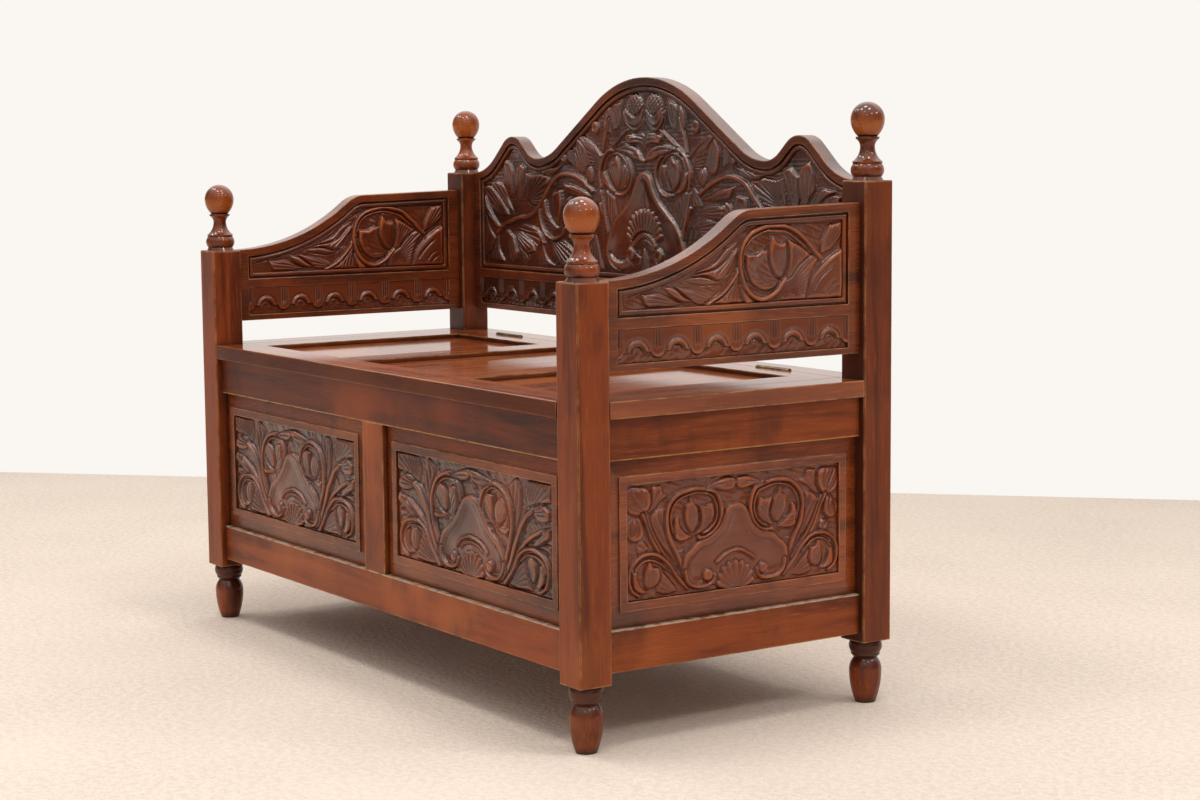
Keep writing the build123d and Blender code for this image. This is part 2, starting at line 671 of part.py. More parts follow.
def back():
    """The back board, carved on its front, and the tenons that go into the rear posts."""
    outline, end_top = back_outline()
    front = Plane(origin=(0, inner_y + BACK_SETBACK, 0), x_dir=(1, 0, 0), z_dir=(0, -1, 0))
    sides = (-inner_x + SIDE_LAND, inner_x - SIDE_LAND)
    band = (back_low + BAND_LAND, back_low + BAND_LAND + BAND_HEIGHT)
    body = extrude(front * outline, -BACK_THICK)
    body = carve(body, front, outline, sides, band, BACK_ARCHES)
    low = back_low + tenon_shoulder
    high = min(end_top, REAR_POST_TOP) - tenon_shoulder - SPIGOT_LENGTH
    tenon_face = front.offset(-(BACK_THICK - TENON_THICK) / 2)
    tenons = extrude(tenon_face * window(inner_x, inner_x + back_tenon, low, high), -TENON_THICK)
    tenons += mirror(tenons, Plane.YZ)
    return body + tenons, tenons


nodes["right_arm"], right_sockets = arm(1)
nodes["left_arm"], left_sockets = arm(-1)
nodes["back_board"], back_sockets = back()
for name in corners:
    for sockets in (right_sockets, left_sockets, back_sockets):
        nodes[f"{name}_post"] -= sockets

os.makedirs("parts", exist_ok=True)
for name, shape in nodes.items():
    export_step(shape, f"parts/{name}.step")
print(len(nodes), "nodes")
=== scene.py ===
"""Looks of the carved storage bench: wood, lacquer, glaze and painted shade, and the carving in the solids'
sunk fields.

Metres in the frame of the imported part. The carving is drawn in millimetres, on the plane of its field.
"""

import json
import math

import bmesh
import bpy
import numpy as np
from mathutils import Matrix, Vector


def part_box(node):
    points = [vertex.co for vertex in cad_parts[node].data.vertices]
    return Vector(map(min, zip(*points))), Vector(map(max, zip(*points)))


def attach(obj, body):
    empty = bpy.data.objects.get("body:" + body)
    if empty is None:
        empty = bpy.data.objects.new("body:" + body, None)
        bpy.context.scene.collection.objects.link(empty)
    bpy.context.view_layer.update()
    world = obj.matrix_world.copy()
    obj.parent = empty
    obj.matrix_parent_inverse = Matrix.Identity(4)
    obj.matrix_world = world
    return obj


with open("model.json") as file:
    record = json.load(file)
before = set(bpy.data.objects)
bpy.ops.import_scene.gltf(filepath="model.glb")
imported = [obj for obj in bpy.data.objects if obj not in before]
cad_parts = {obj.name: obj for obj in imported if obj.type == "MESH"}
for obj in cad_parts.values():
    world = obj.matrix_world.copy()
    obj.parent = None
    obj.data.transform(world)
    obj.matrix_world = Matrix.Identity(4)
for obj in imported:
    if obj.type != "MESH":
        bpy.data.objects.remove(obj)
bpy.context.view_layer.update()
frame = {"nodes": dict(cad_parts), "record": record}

MM = 0.001

# Carved fields, as the solids have them
PANEL_RIM = 41.0
PANEL_SUNK = 5.0
POST_FACE = 213.0
END_POST_FACE = 515.0
BOARD_RIM = 29.5
BOARD_SUNK = 6.0
FIELD_LIFT = 78.5
BAND_RIM = 20.0
BAND_LIFT = 9.0
BAND_HEIGHT = 45.0
BAND_SUNK = 5.0
EDGE_RIM = 21.5
OUTLINE_FALL = 300.0
OUTLINE_MORE = 30.0
BEDDING = 0.4
CLEAR = 0.15
SHY = 0.2
PANEL_SHY = 0.1

# The arcade of the bands
ARM_ARCHES = 6
BACK_ARCHES = 15
ARCH_RADIUS = 12.5
PENDANT = 8.0
FLUTE = 4.4
VALANCE = 3.0
VALANCE_LEAST = 2.65

# How the carver's tools leave the wood
GRID = 1.2
BAND_GRID = 0.85
BACK_GRID = 1.35
EDGE_SHARE = 0.35
ROUND = 1.5
OUTLINE_CUT = 0.8
OUTLINE_REACH = 1.4
WANDER = 1.1
WANDER_SIZE = 38.0
CHISEL = 0.22
ROLL = 0.45
WEAR_HEIGHT = 2.0
LEAN = 0.45
SWING = 0.4
DEEPER = 1.35
STEEPER = 2.2
PROUD = 1.0


# Lines and distances on the plane of a carved field


def smooth(points, step=2.0):
    """A smooth line through the points, as many short straight steps."""
    given = np.array(points, float)
    if len(given) == 2:
        return given
    ends = np.vstack([2 * given[0] - given[1], given, 2 * given[-1] - given[-2]])
    runs = []
    for a, b, c, d in zip(ends, ends[1:], ends[2:], ends[3:]):
        count = max(2, int(np.linalg.norm(c - b) / step))
        u = np.linspace(0, 1, count, endpoint=False)[:, None]
        runs.append(b + 0.5 * u * (c - a + u * (2 * a - 5 * b + 4 * c - d + u * (3 * b - a - 3 * c + d))))
    return np.vstack(runs + [given[-1:]])


def nearest(s, t, path):
    """For each point: the distance to the path, how far along it that is (0 to 1), and on which side."""
    steps = np.diff(path, axis=0)
    lengths = np.hypot(steps[:, 0], steps[:, 1])
    starts = np.concatenate([[0], np.cumsum(lengths)])
    best = np.full(s.shape, np.inf)
    along = np.zeros(s.shape)
    side = np.ones(s.shape)
    for (a, b), (e, f), length, start in zip(path, steps, lengths, starts):
        u = np.clip(((s - a) * e + (t - b) * f) / max(length, 1e-9) ** 2, 0, 1)
        p, q = s - a - u * e, t - b - u * f
        gap = p * p + q * q
        closer = gap < best
        best = np.where(closer, gap, best)
        along = np.where(closer, start + u * length, along)
        side = np.where(closer, np.where(e * q - f * p < 0, -1.0, 1.0), side)
    return np.sqrt(best), along / starts[-1], side


def waves(s, t, size, seed):
    """Slow seeded waves from -1 to 1, for what the hand doesn't repeat exactly."""
    rng = np.random.default_rng(seed)
    total = np.zeros(s.shape)
    for _ in range(5):
        turn, shift = rng.uniform(0, 2 * np.pi, 2)
        length = size * rng.uniform(0.7, 1.6)
        total += np.sin((s * np.cos(turn) + t * np.sin(turn)) * 2 * np.pi / length + shift)
    return total / 5


def blurred(grid, reach):
    """The grid's mean over a square of that many cells each way."""
    pad = np.pad(grid, reach + 1, mode="edge").cumsum(0).cumsum(1)
    size = 2 * reach + 1
    total = pad[size:, size:] - pad[:-size, size:] - pad[size:, :-size] + pad[:-size, :-size]
    return (total / size**2)[: grid.shape[0], : grid.shape[1]]


def enclosed(s, t, ring):
    """Which points lie inside a closed line."""
    within = np.zeros(s.shape, bool)
    for (a, b), (c, d) in zip(ring, ring[1:]):
        if b != d:
            within ^= ((b > t) != (d > t)) & (s < a + (t - b) * (c - a) / (d - b))
    return within


class Relief:
    """The height of the carving over a sunk field, built up form by form."""

    def __init__(self, s, t, seed, twin):
        self.across, self.up = s, t
        self.s = (np.abs(s) if twin else s) + WANDER * waves(s, t, WANDER_SIZE, seed)
        self.t = t + WANDER * waves(s, t, WANDER_SIZE, seed + 1)
        self.height = CHISEL * (1 + waves(s, t, 7.0, seed + 2)) + ROLL * (1 + waves(s, t, 26.0, seed + 3))

    def near(self, path, reach):
        low, high = path.min(0) - reach, path.max(0) + reach
        return (self.s > low[0]) & (self.s < high[0]) & (self.t > low[1]) & (self.t < high[1])

    def lay(self, here, beyond, height):
        """Puts a form over what is there, with a cut round it. Beyond is the distance out of its edge."""
        below = self.height[here]
        cut = OUTLINE_CUT * np.exp(-((beyond / OUTLINE_REACH) ** 2))
        self.height[here] = np.where(beyond <= 0, np.maximum(height, 0.1), below * (1 - cut))

    def rays(self, here, base, lines, depth):
        """Scored lines that fan out from a point, so many to the radian."""
        p, q = self.s[here] - base[0], self.t[here] - base[1]
        flute = 1 - np.abs(np.cos(np.pi * lines * np.arctan2(q, p)))
        return 1.3 * depth * flute**1.5 * np.clip(np.hypot(p, q) / 14 - 0.3, 0, 1)

    def shape(self, start, *sides, top=3.0, rim=5.0, dish=0.0, rays=None):
        """A form within an outline: from its start along smooth sides, with corners between, and back."""
        corners = [start] + [side[-1] for side in sides[:-1]]
        sides = [*sides[:-1], [*sides[-1], start]]
        runs = [smooth([corner, *side])[:-1] for corner, side in zip(corners, sides)]
        path = np.vstack(runs + [np.array([start], float)])
        here = self.near(path, 3 * OUTLINE_REACH)
        gap, _, _ = nearest(self.s[here], self.t[here], path)
        share = np.clip(gap / (ROUND * rim), 0, 1)
        height = top * (EDGE_SHARE + (1 - EDGE_SHARE) * np.sqrt(1 - (1 - share) ** 2))
        height -= dish * top * (1 - np.exp(-((gap / (1.8 * rim)) ** 2)))
        base = np.array(rays[0] if rays else path[0])
        aim = path.mean(0) - base
        p, q = (self.s[here] - base[0]) / (aim @ aim), (self.t[here] - base[1]) / (aim @ aim)
        lift = np.clip(p * aim[0] + q * aim[1] - 1, -1, 1)
        turn = np.clip(2 * (p * aim[1] - q * aim[0]), -1, 1)
        height *= 1 + LEAN * lift + SWING * np.sin(path.mean(0) @ (0.7, 1.3)) * turn
        if rays:
            height -= self.rays(here, *rays) * share
        within = enclosed(self.s[here], self.t[here], path)
        self.lay(here, np.where(within, -gap, gap), height)

    def cut(self, *points, width=1.3, depth=1.0):
        """An incised line that fades at its ends."""
        path = smooth(points)
        here = self.near(path, 3 * width)
        gap, along, _ = nearest(self.s[here], self.t[here], path)
        groove = depth * np.exp(-((gap / width) ** 2)) * np.sin(np.pi * (0.04 + 0.92 * along)) ** 0.4
        self.height[here] = np.maximum(self.height[here] - groove, 0.05)

    def band(self, points, width, top, groove=0.0, thin=0.0):
        """A rounded stem, with a groove along its back or thinner towards its end if asked for."""
        path = smooth(points)
        here = self.near(path, width + 3 * OUTLINE_REACH)
        gap, along, _ = nearest(self.s[here], self.t[here], path)
        half = width * (1 - thin * along)
        share = np.clip(gap / half, 0, 1)
        height = top * (EDGE_SHARE + (1 - EDGE_SHARE) * np.sqrt(1 - share**2))
        self.lay(here, gap - half, height - groove * top * np.exp(-((share / 0.3) ** 2)))

    def hollow(self, centre, reach, share):
        """Sinks the surface smoothly round a place, by a share of its height."""
        gap = ((self.s - centre[0]) ** 2 + (self.t - centre[1]) ** 2) / reach**2
        self.height *= 1 - share * np.exp(-gap)

    def ball(self, centre, radii, top, studs=0.0):
        """A bead or a round bud, studded like a thistle if studs is the size of the studs."""
        share = np.hypot((self.s - centre[0]) / radii[0], (self.t - centre[1]) / radii[1])
        here = share < 1 + 3 * OUTLINE_REACH / min(radii)
        share = share[here]
        height = top * (EDGE_SHARE + (1 - EDGE_SHARE) * np.sqrt(np.clip(1 - share**2, 0, 1)))
        if studs:
            u, v = (self.s[here] + self.t[here]) / studs, (self.s[here] - self.t[here]) / studs
            height -= 0.24 * top * (1 - np.abs(np.sin(np.pi * u) * np.sin(np.pi * v)))
        self.lay(here, (share - 1) * min(radii), height)

    def shell(self, base, radius, ribs, top, spread=1.35):
        """A fan of ribs with a scalloped edge."""
        p, q = self.s - base[0], self.t - base[1]
        here = (np.hypot(p, q) < radius * 1.3) & (q > -2)
        p, q = p[here], q[here]
        turn = np.arctan2(p, np.maximum(q, 1e-6)) / spread
        rib = np.abs(np.cos(np.pi * ribs * turn / 2))
        edge = radius * (0.86 + 0.1 * rib) * (1 - 0.2 * turn**2)
        gap = np.hypot(p, q)
        share = np.clip(gap / edge, 0, 1)
        height = top * (0.4 + 0.6 * np.sin(np.pi * (0.12 + 0.62 * share))) * (0.72 + 0.28 * rib)
        self.lay(here, np.maximum(gap - edge, (np.abs(turn) - 1) * gap), height)

    def shoulder(self, points, width, top, floor, fall):
        """A ribbon with a steep outer side, sinking inside to a smooth floor. Inside is on the right."""
        path = smooth(points)
        here = self.near(path, 60.0)
        gap, _, side = nearest(self.s[here], self.t[here], path)
        inner = floor + (top - floor) * np.exp(-((np.maximum(gap - 0.3 * width, 0) / fall) ** 2))
        outer = top * (EDGE_SHARE + (1 - EDGE_SHARE) * np.sqrt(1 - np.clip(gap / width, 0, 1) ** 2))
        inside = side < 0
        self.lay(here, np.where(inside, -1.0, gap - width), np.where(inside, inner, outer))

    def finished(self, depth):
        """The softened heights, with the glaze and painted shade that darken hollows and the wear on high
        places.
        """
        soft = DEEPER * (0.75 * self.height + 0.25 * blurred(self.height, 1))
        knee = 0.75 * (depth + PROUD)
        over = np.maximum(soft - knee, 0)
        room = depth + PROUD - knee
        soft = np.maximum(np.minimum(soft, knee) + room * np.tanh(over / room), 0.05)
        wide = blurred(soft, 5)
        # Glaze and painted shade: darker where the surface lies below its neighbours, partly real glaze,
        # partly painted shade
        glaze_and_shade = np.clip(0.9 * (blurred(soft, 1) - soft) + 0.2 * (wide - soft), 0, 1)
        wear = np.clip((soft - wide) / WEAR_HEIGHT, 0, 1)
        return soft, glaze_and_shade, wear


# Designs of the carving


def draw_bell(r, bell, eye, arch, shell):
    """The cartouche in a panel's middle: a bell with rolled ends, a shell and an arch over it."""
    r.shoulder(bell, 4.0, 4.8, 2.2, 9.0)
    r.hollow((62, 24), 24.0, 0.8)
    r.hollow((20, 34), 22.0, 0.45)
    r.cut(*[(0.9 * s - 1, t - 6.5) for s, t in bell[1:9]], width=1.2, depth=0.5)
    r.shell((0, -4), shell, 9, 4.2)
    r.band(arch, 2.2, 4.0)
    lip = [(37, 8), (33, -5), (21, -14), (5, -14.5), (-6, -10), (-10, -1)]
    r.band([(eye[0] + s, eye[1] + t) for s, t in lip], 3.0, 4.7)
    r.ball(eye, (8.5, 8.5), 5.0)


def draw_end_panel(r):
    """Ringed tulips beside the bell, with buds in the corners. Millimetres from the foot of the middle."""
    r.shape((147, 112), [(139, 130), (139, 150)], [(122, 150)], [(118, 140), (110, 135)],
            [(124, 127), (135, 117)], top=2.6, rays=((151, 106), 4, 0.8))
    r.shape((165, 76), [(151, 78), (143, 69)], [(148, 60), (161, 60)], top=2.4)
    r.cut((164, 74), (155, 69), (147, 63))
    r.shape((84, 62), [(100, 56), (92, 40)], [(84, 46)], top=1.8)
    r.shape((167, 112), [(156, 109), (151, 92), (156, 82), (167, 78), (176, 84), (179, 98)], top=3.5)
    r.cut((166, 110), (160, 96), (166, 82))
    r.cut((168, 110), (172, 98), (173, 86))
    r.shape((172, 151),
            [(148, 150), (140, 137), (144, 121), (156, 113), (171, 115), (179, 124), (179, 145)],
            top=3.9, rim=6)
    r.cut((153, 116), (163, 130), (172, 146), depth=1.4)
    r.cut((152, 118), (151, 134), (157, 147), depth=1.2)
    r.cut((157, 116), (170, 122), (177, 134), depth=1.2)
    r.shape((92, 34), [(109, 55), (128, 75), (142, 103), (138, 113)], [(128, 119), (117, 120)],
            [(115, 94), (109, 74), (98, 56)], top=3.4, dish=0.25, rays=((84, 12), 9, 1.1))
    r.band([(154, 113), (145, 98), (136, 76), (122, 54), (106, 32), (82, 8)], 3.0, 4.5)
    r.band([(147, 112), (137, 88), (126, 68), (112, 50), (96, 30)], 1.8, 3.9)
    r.shape((125, 39), [(113, 26), (94, 6)], [(118, 3), (132, 8)], [(131, 26)],
            top=2.8, rays=((92, 2), 5, 0.9))
    r.shape((170, 42), [(160, 44), (161, 29), (154, 16), (143, 10)], [(157, 9), (169, 18)],
            top=3.6, rim=2.5)
    r.shape((151, 38), [(143, 50), (136, 42)], [(128, 41)], [(125, 29), (130, 18), (142, 13), (151, 20)],
            top=4.2, rim=5, rays=((141, 8), 4, 0.6))
    stem = [(80, 9), (99, 26), (112, 44), (125, 55), (141, 60), (159, 57), (172, 47), (176, 32)]
    r.band(stem + [(172, 15), (160, 6)], 3.0, 4.6, thin=0.25)
    r.band([(114, 36), (127, 47), (142, 52), (157, 49), (166, 40)], 1.6, 3.4)
    r.shape((102, 104), [(104, 88), (100, 75), (88, 72), (70, 76)], [(84, 85), (92, 94), (95, 108)],
            top=3.8, rim=3, rays=((70, 76), 6, 0.5))
    r.shape((62, 118), [(50, 116), (40, 120)], [(35, 104), (40, 90), (53, 80), (69, 78)],
            [(61, 88), (58, 101)], top=4.0, rim=4, rays=((72, 74), 7, 0.7))
    r.shape((76, 131), [(69, 121), (62, 112), (60, 95), (66, 85), (73, 81)],
            [(82, 92), (86, 107), (84, 121)], [(79, 122)], top=4.8, rim=7, rays=((73, 72), 8, 0.7))
    ring = [(84, 24), (98, 56), (111, 79), (115, 101), (113, 118), (104, 130), (90, 138), (69, 141)]
    ring += [(48, 138), (34, 132), (26, 118), (24, 104), (29, 88), (40, 77), (53, 73), (62, 74)]
    r.band(ring, 3.6, 5.0, thin=0.2)
    inner = [(104, 84), (108, 101), (106, 115), (99, 125), (86, 132), (69, 135), (51, 132), (39, 127)]
    inner += [(32, 115), (31, 104), (35, 92), (44, 83), (54, 79)]
    r.band(inner, 1.6, 3.6)
    r.shape((50, 138), [(34, 147), (18, 151), (2, 150)], [(-1, 143)], [(4, 135), (18, 133), (33, 136)],
            top=3.7, rays=((54, 137), 8, 0.7))
    r.cut((44, 139), (26, 143), (6, 143))
    bell = [(-12, 108), (0, 112), (12, 108), (18, 98), (24, 85), (34, 75), (46, 69), (62, 66), (72, 58)]
    bell += [(82, 50), (86, 40), (84, 26), (77, 14), (64, 8), (48, 8)]
    draw_bell(r, bell, (47, 22), [(-12, 49), (0, 51), (12, 49), (22, 44), (31, 38)], 43)


def draw_front_panel(r):
    """The end panels' design on the wider front panels, with long pods and spiky leaves in the corners."""
    r.shape((144, 115), [(138, 137), (146, 153)], [(205, 153)], [(205, 128)], [(170, 123)],
            top=2.6, rays=((140, 106), 7, 1.1))
    r.shape((96, 140), [(118, 152), (129, 134), (126, 104), (112, 78)], [(112, 110)],
            top=2.8, dish=0.2, rays=((100, 50), 8, 1.0))
    r.shape((92, 4), [(112, 28), (138, 46)], [(146, 26), (156, 3)], [(120, 2)],
            top=2.8, rays=((88, 0), 7, 1.0))
    r.shape((120, 60), [(138, 66), (160, 70), (186, 72)], [(200, 70), (203, 58)], [(170, 64)],
            top=2.2, rays=((110, 56), 7, 0.6))
    r.shape((156, 63), [(168, 80), (182, 91), (202, 95)], [(203, 83), (186, 73), (169, 65)],
            top=4.0, rays=((140, 55), 11, 0.9))
    r.shape((155, 112), [(168, 123), (186, 123), (200, 116)], [(200, 104), (183, 100), (166, 103)],
            top=4.4, rim=6, rays=((146, 108), 7, 1.0))
    r.shape((112, 72), [(122, 92), (140, 112), (150, 114)], [(136, 92), (126, 66)],
            top=3.4, rays=((100, 50), 9, 0.8))
    r.band([(84, 6), (105, 41), (122, 75), (139, 99), (158, 112)], 4.2, 4.6, groove=0.25)
    r.band([(90, 4), (116, 41), (136, 64), (156, 77), (178, 87)], 3.6, 4.2, groove=0.25)
    r.shape((172, 44), [(186, 41), (189, 24), (176, 9), (158, 12)], [(170, 20)], top=3.6, rim=3)
    r.shape((144, 39), [(154, 52), (166, 42)], [(168, 27), (160, 15), (149, 20)],
            top=4.3, rim=5, rays=((157, 8), 4, 0.7))
    r.band([(88, 4), (108, 25), (125, 47), (145, 59), (168, 59), (188, 51), (198, 34), (193, 14), (178, 5)],
           3.2, 4.7, thin=0.25)
    r.band([(128, 40), (147, 51), (167, 51), (182, 44), (190, 32)], 1.6, 3.5)
    r.shape((36, 119), [(46, 123), (57, 121)], [(58, 104), (56, 90), (62, 80)], [(46, 83), (36, 97)],
            top=3.9, rim=4, rays=((64, 76), 5, 0.6))
    r.shape((98, 106), [(101, 84), (96, 72), (76, 73), (64, 80)], [(84, 86)],
            top=3.7, rim=3, rays=((64, 78), 6, 0.6))
    r.shape((64, 88), [(64, 104), (72, 116), (84, 123)], [(94, 114), (96, 103), (86, 89), (72, 83)],
            top=4.8, rim=6, rays=((66, 76), 6, 0.9))
    ring = [(80, 12), (92, 41), (104, 68), (107, 97), (97, 122), (77, 135), (56, 138), (36, 128), (26, 108)]
    r.band(ring + [(28, 88), (39, 76), (54, 73)], 3.8, 5.0, thin=0.2)
    r.band([(98, 82), (100, 98), (92, 117), (75, 128), (56, 131), (41, 123), (33, 107), (35, 91), (44, 82)],
           1.6, 3.6)
    r.shape((58, 138), [(34, 145), (10, 150), (0, 150)], [(-1, 142)], [(12, 133), (34, 131)],
            top=3.8, rays=((62, 137), 8, 0.8))
    r.cut((48, 138), (28, 141), (6, 143))
    bell = [(-14, 107), (0, 111), (14, 107), (24, 97), (33, 85), (44, 74), (57, 65), (72, 54), (83, 40)]
    bell += [(88, 26), (84, 13), (70, 7), (52, 7)]
    draw_bell(r, bell, (48, 22), [(-16, 53), (0, 56), (16, 53), (30, 47), (40, 38)], 42)
    r.band([(-16, 46), (0, 49), (16, 46), (28, 39)], 1.6, 3.4)


def draw_arm(r):
    """A ringed tulip towards the rear post, with leaves that sweep down to the front one. Real y and z."""
    r.shape((76, 584), [(79, 598), (94, 612), (108, 627), (128, 638), (145, 634)], [(128, 610), (120, 577)],
            [(79, 577)], top=2.8, dish=0.15, rays=((74, 580), 12, 0.8))
    r.shape((120, 577), [(128, 601), (145, 621), (164, 636), (182, 644)], [(183, 577)], [], top=3.8, rim=5)
    r.cut((134, 590), (146, 606), (166, 622), depth=1.3)
    r.cut((150, 586), (160, 597), (170, 602))
    r.cut((158, 582), (166, 590), (175, 594))
    r.shape((145, 635), [(147, 654), (160, 677)], [(182, 682)], [(181, 660), (164, 644)],
            top=3.6, rays=((142, 626), 9, 1.1))
    r.shape((30, 678), [(-3, 677), (-33, 657), (-62, 640), (-97, 625), (-140, 611), (-183, 603)],
            [(-183, 592)], [(-140, 601), (-97, 613), (-62, 627), (-33, 642), (0, 662)], top=2.6, rim=5)
    r.cut((20, 674), (-18, 659), (-48, 641), (-88, 622), (-130, 609), depth=1.0)
    r.shape((-88, 611), [(-62, 604), (-33, 604), (-9, 616)], [(-33, 612), (-62, 615)], top=3.2)
    r.shape((-71, 616), [(-50, 616), (-27, 609), (-9, 624), (10, 652)], [(-12, 642), (-35, 627)],
            top=4.2, rim=6, rays=((16, 660), 9, 0.9))
    r.shape((14, 658), [(2, 654), (-15, 637), (-33, 626), (-66, 620)], [(-33, 634), (-12, 652)], top=3.4)
    r.shape((-155, 595), [(-127, 597), (-112, 592), (-97, 585), (-80, 579)], [(-127, 578), (-146, 581)],
            top=3.4, rays=((-72, 578), 10, 1.0))
    r.shape((-118, 606), [(-98, 600), (-85, 590), (-70, 582)], [(-92, 585), (-110, 595)], top=4.4)
    r.shape((-100, 604), [(-76, 600), (-50, 594), (-30, 584)], [(-48, 578), (-66, 580), (-84, 592)],
            top=3.0, rays=((-22, 580), 9, 0.7))
    r.shape((6, 628), [(-4, 604), (-20, 590), (-36, 578)], [(14, 577)], [(8, 600)],
            top=2.8, rays=((10, 640), 9, 1.0))
    r.band([(10, 648), (5, 624), (-9, 604), (-28, 587), (-48, 578)], 3.0, 4.8, thin=0.3)
    r.shape((10, 620), [(14, 600), (24, 586)], [(30, 577)], [(16, 577), (8, 596)], top=3.6)
    r.shape((16, 642), [(35, 642), (45, 647), (56, 647)], [(58, 627), (67, 610), (83, 603)],
            [(62, 593), (44, 593), (26, 604), (16, 621)],
            top=4.4, rim=6, dish=0.25, rays=((86, 600), 6, 0.5))
    r.cut((34, 626), (42, 610), (58, 601), depth=1.2)
    r.shape((89, 659), [(106, 652), (128, 638)], [(108, 624), (97, 610), (82, 603)], [(88, 622)],
            top=4.0, rim=5, dish=0.2, rays=((80, 598), 10, 0.8))
    r.shape((61, 667), [(57, 654), (55, 636), (60, 621), (68, 610), (80, 605)],
            [(88, 621), (89, 640), (86, 655)], [(71, 656)], top=5.3, rim=9, rays=((78, 594), 9, 0.8))
    ring = [(84, 606), (76, 598), (70, 591), (58, 584), (44, 581), (29, 586), (17, 598), (9, 615)]
    ring += [(7, 633), (12, 654), (26, 670), (50, 677), (79, 678), (103, 670), (124, 653), (145, 633)]
    r.band(ring, 3.4, 5.4, thin=0.15)
    inner = [(20, 607), (13, 622), (12, 636), (18, 653), (31, 665), (52, 671), (78, 671), (99, 663)]
    r.band(inner + [(118, 648)], 1.7, 3.8)


def draw_back_wing(r):
    """The leaves, buds and scrolling stem from the back's bell out to its end."""
    r.shape((484, 668), [(470, 640), (450, 618), (486, 590)], [(486, 668)],
            top=2.2, rays=((440, 640), 7, 0.7))
    r.shape((420, 640), [(402, 636), (372, 616), (378, 592)], [(398, 586), (412, 606)],
            top=3.6, rays=((424, 650), 7, 0.9))
    r.shape((440, 636), [(438, 606), (420, 584)], [(470, 586), (458, 614)],
            top=2.6, rays=((438, 646), 6, 0.8))
    r.shape((392, 642), [(352, 652), (308, 640), (290, 620)], [(326, 600), (352, 585), (376, 606)],
            top=3.2, rim=6, dish=0.15, rays=((400, 646), 9, 1.0))
    r.shape((390, 638), [(362, 636), (330, 622), (318, 606)], [(344, 602), (372, 612)],
            top=4.4, rim=6, rays=((402, 644), 9, 0.8))
    r.shape((280, 630), [(246, 632), (206, 612), (180, 590)], [(228, 586), (262, 598)],
            top=3.4, rim=5, rays=((290, 640), 9, 1.0))
    r.shape((300, 622), [(286, 596), (262, 584)], [(310, 586), (318, 604)],
            top=2.8, rays=((304, 640), 7, 0.8))
    r.shape((206, 640), [(176, 622), (150, 586)], [(186, 590), (204, 612)],
            top=3.0, rays=((214, 660), 8, 1.0))
    r.shape((140, 640), [(128, 612), (118, 584)], [(148, 588), (164, 612)],
            top=2.8, rays=((136, 656), 7, 0.9))
    r.shape((132, 660), [(164, 672), (200, 668), (222, 650)], [(190, 640), (158, 640)],
            top=3.8, rim=5, rays=((120, 652), 8, 0.9))
    r.shape((142, 684), [(170, 694), (204, 692), (222, 680)], [(196, 672), (164, 674)],
            top=3.6, rim=4, rays=((130, 680), 10, 0.8))
    r.shape((148, 700), [(190, 716), (232, 722)], [(224, 706), (194, 700)],
            top=3.9, rays=((140, 698), 10, 0.7))
    r.shape((350, 738), [(330, 734), (288, 738), (274, 728)],
            [(282, 712), (304, 686), (336, 684), (356, 700)],
            top=3.6, rim=6, dish=0.15, rays=((352, 690), 7, 1.1))
    r.shape((232, 754), [(262, 748), (292, 750), (316, 744)], [(290, 734), (262, 736)],
            top=4.2, rays=((228, 758), 9, 0.9))
    r.shape((385, 738), [(367, 752), (350, 746)], [(356, 722), (374, 690), (388, 706)],
            top=4.2, rim=6, rays=((378, 676), 6, 0.9))
    r.shape((422, 743), [(412, 759), (396, 754)], [(387, 732), (392, 700), (408, 698), (422, 716)],
            top=4.6, rim=6, rays=((402, 684), 6, 0.9))
    r.shape((468, 720), [(440, 722), (414, 711), (406, 690), (388, 669)], [(414, 680), (440, 700)],
            top=3.6, rim=4, rays=((380, 660), 9, 0.8))
    r.shape((484, 712), [(462, 714), (430, 695), (404, 664)], [(435, 664), (466, 685)],
            top=4.5, rim=5, rays=((396, 652), 9, 0.9))
    r.shape((485, 700), [(477, 669), (451, 645), (428, 640)], [(456, 664)],
            top=3.8, rays=((420, 634), 9, 0.8))
    r.shape((299, 680), [(288, 696), (278, 670), (262, 653), (246, 648)], [(272, 637), (293, 653)],
            top=4.2, rim=4, rays=((240, 644), 6, 0.6))
    r.shape((212, 700), [(226, 694), (236, 668), (250, 648)], [(222, 652), (208, 674)],
            top=4.0, rim=4, rays=((254, 642), 7, 0.7))
    r.shape((264, 706), [(240, 710)], [(236, 686), (245, 664), (252, 650)], [(264, 668), (268, 690)],
            top=5.2, rim=8, rays=((250, 636), 8, 0.8))
    ring = [(296, 696), (305, 676), (300, 652), (286, 636), (264, 628), (240, 634), (226, 648)]
    r.band([(262, 722), (282, 710)] + ring, 3.4, 5.2, thin=0.2)
    stem = [(100, 636), (112, 668), (132, 698), (168, 722), (205, 735), (240, 735), (268, 721), (292, 697)]
    r.band(stem + [(314, 676), (346, 664), (388, 658), (424, 645), (440, 636)], 3.8, 5.3, groove=0.2)


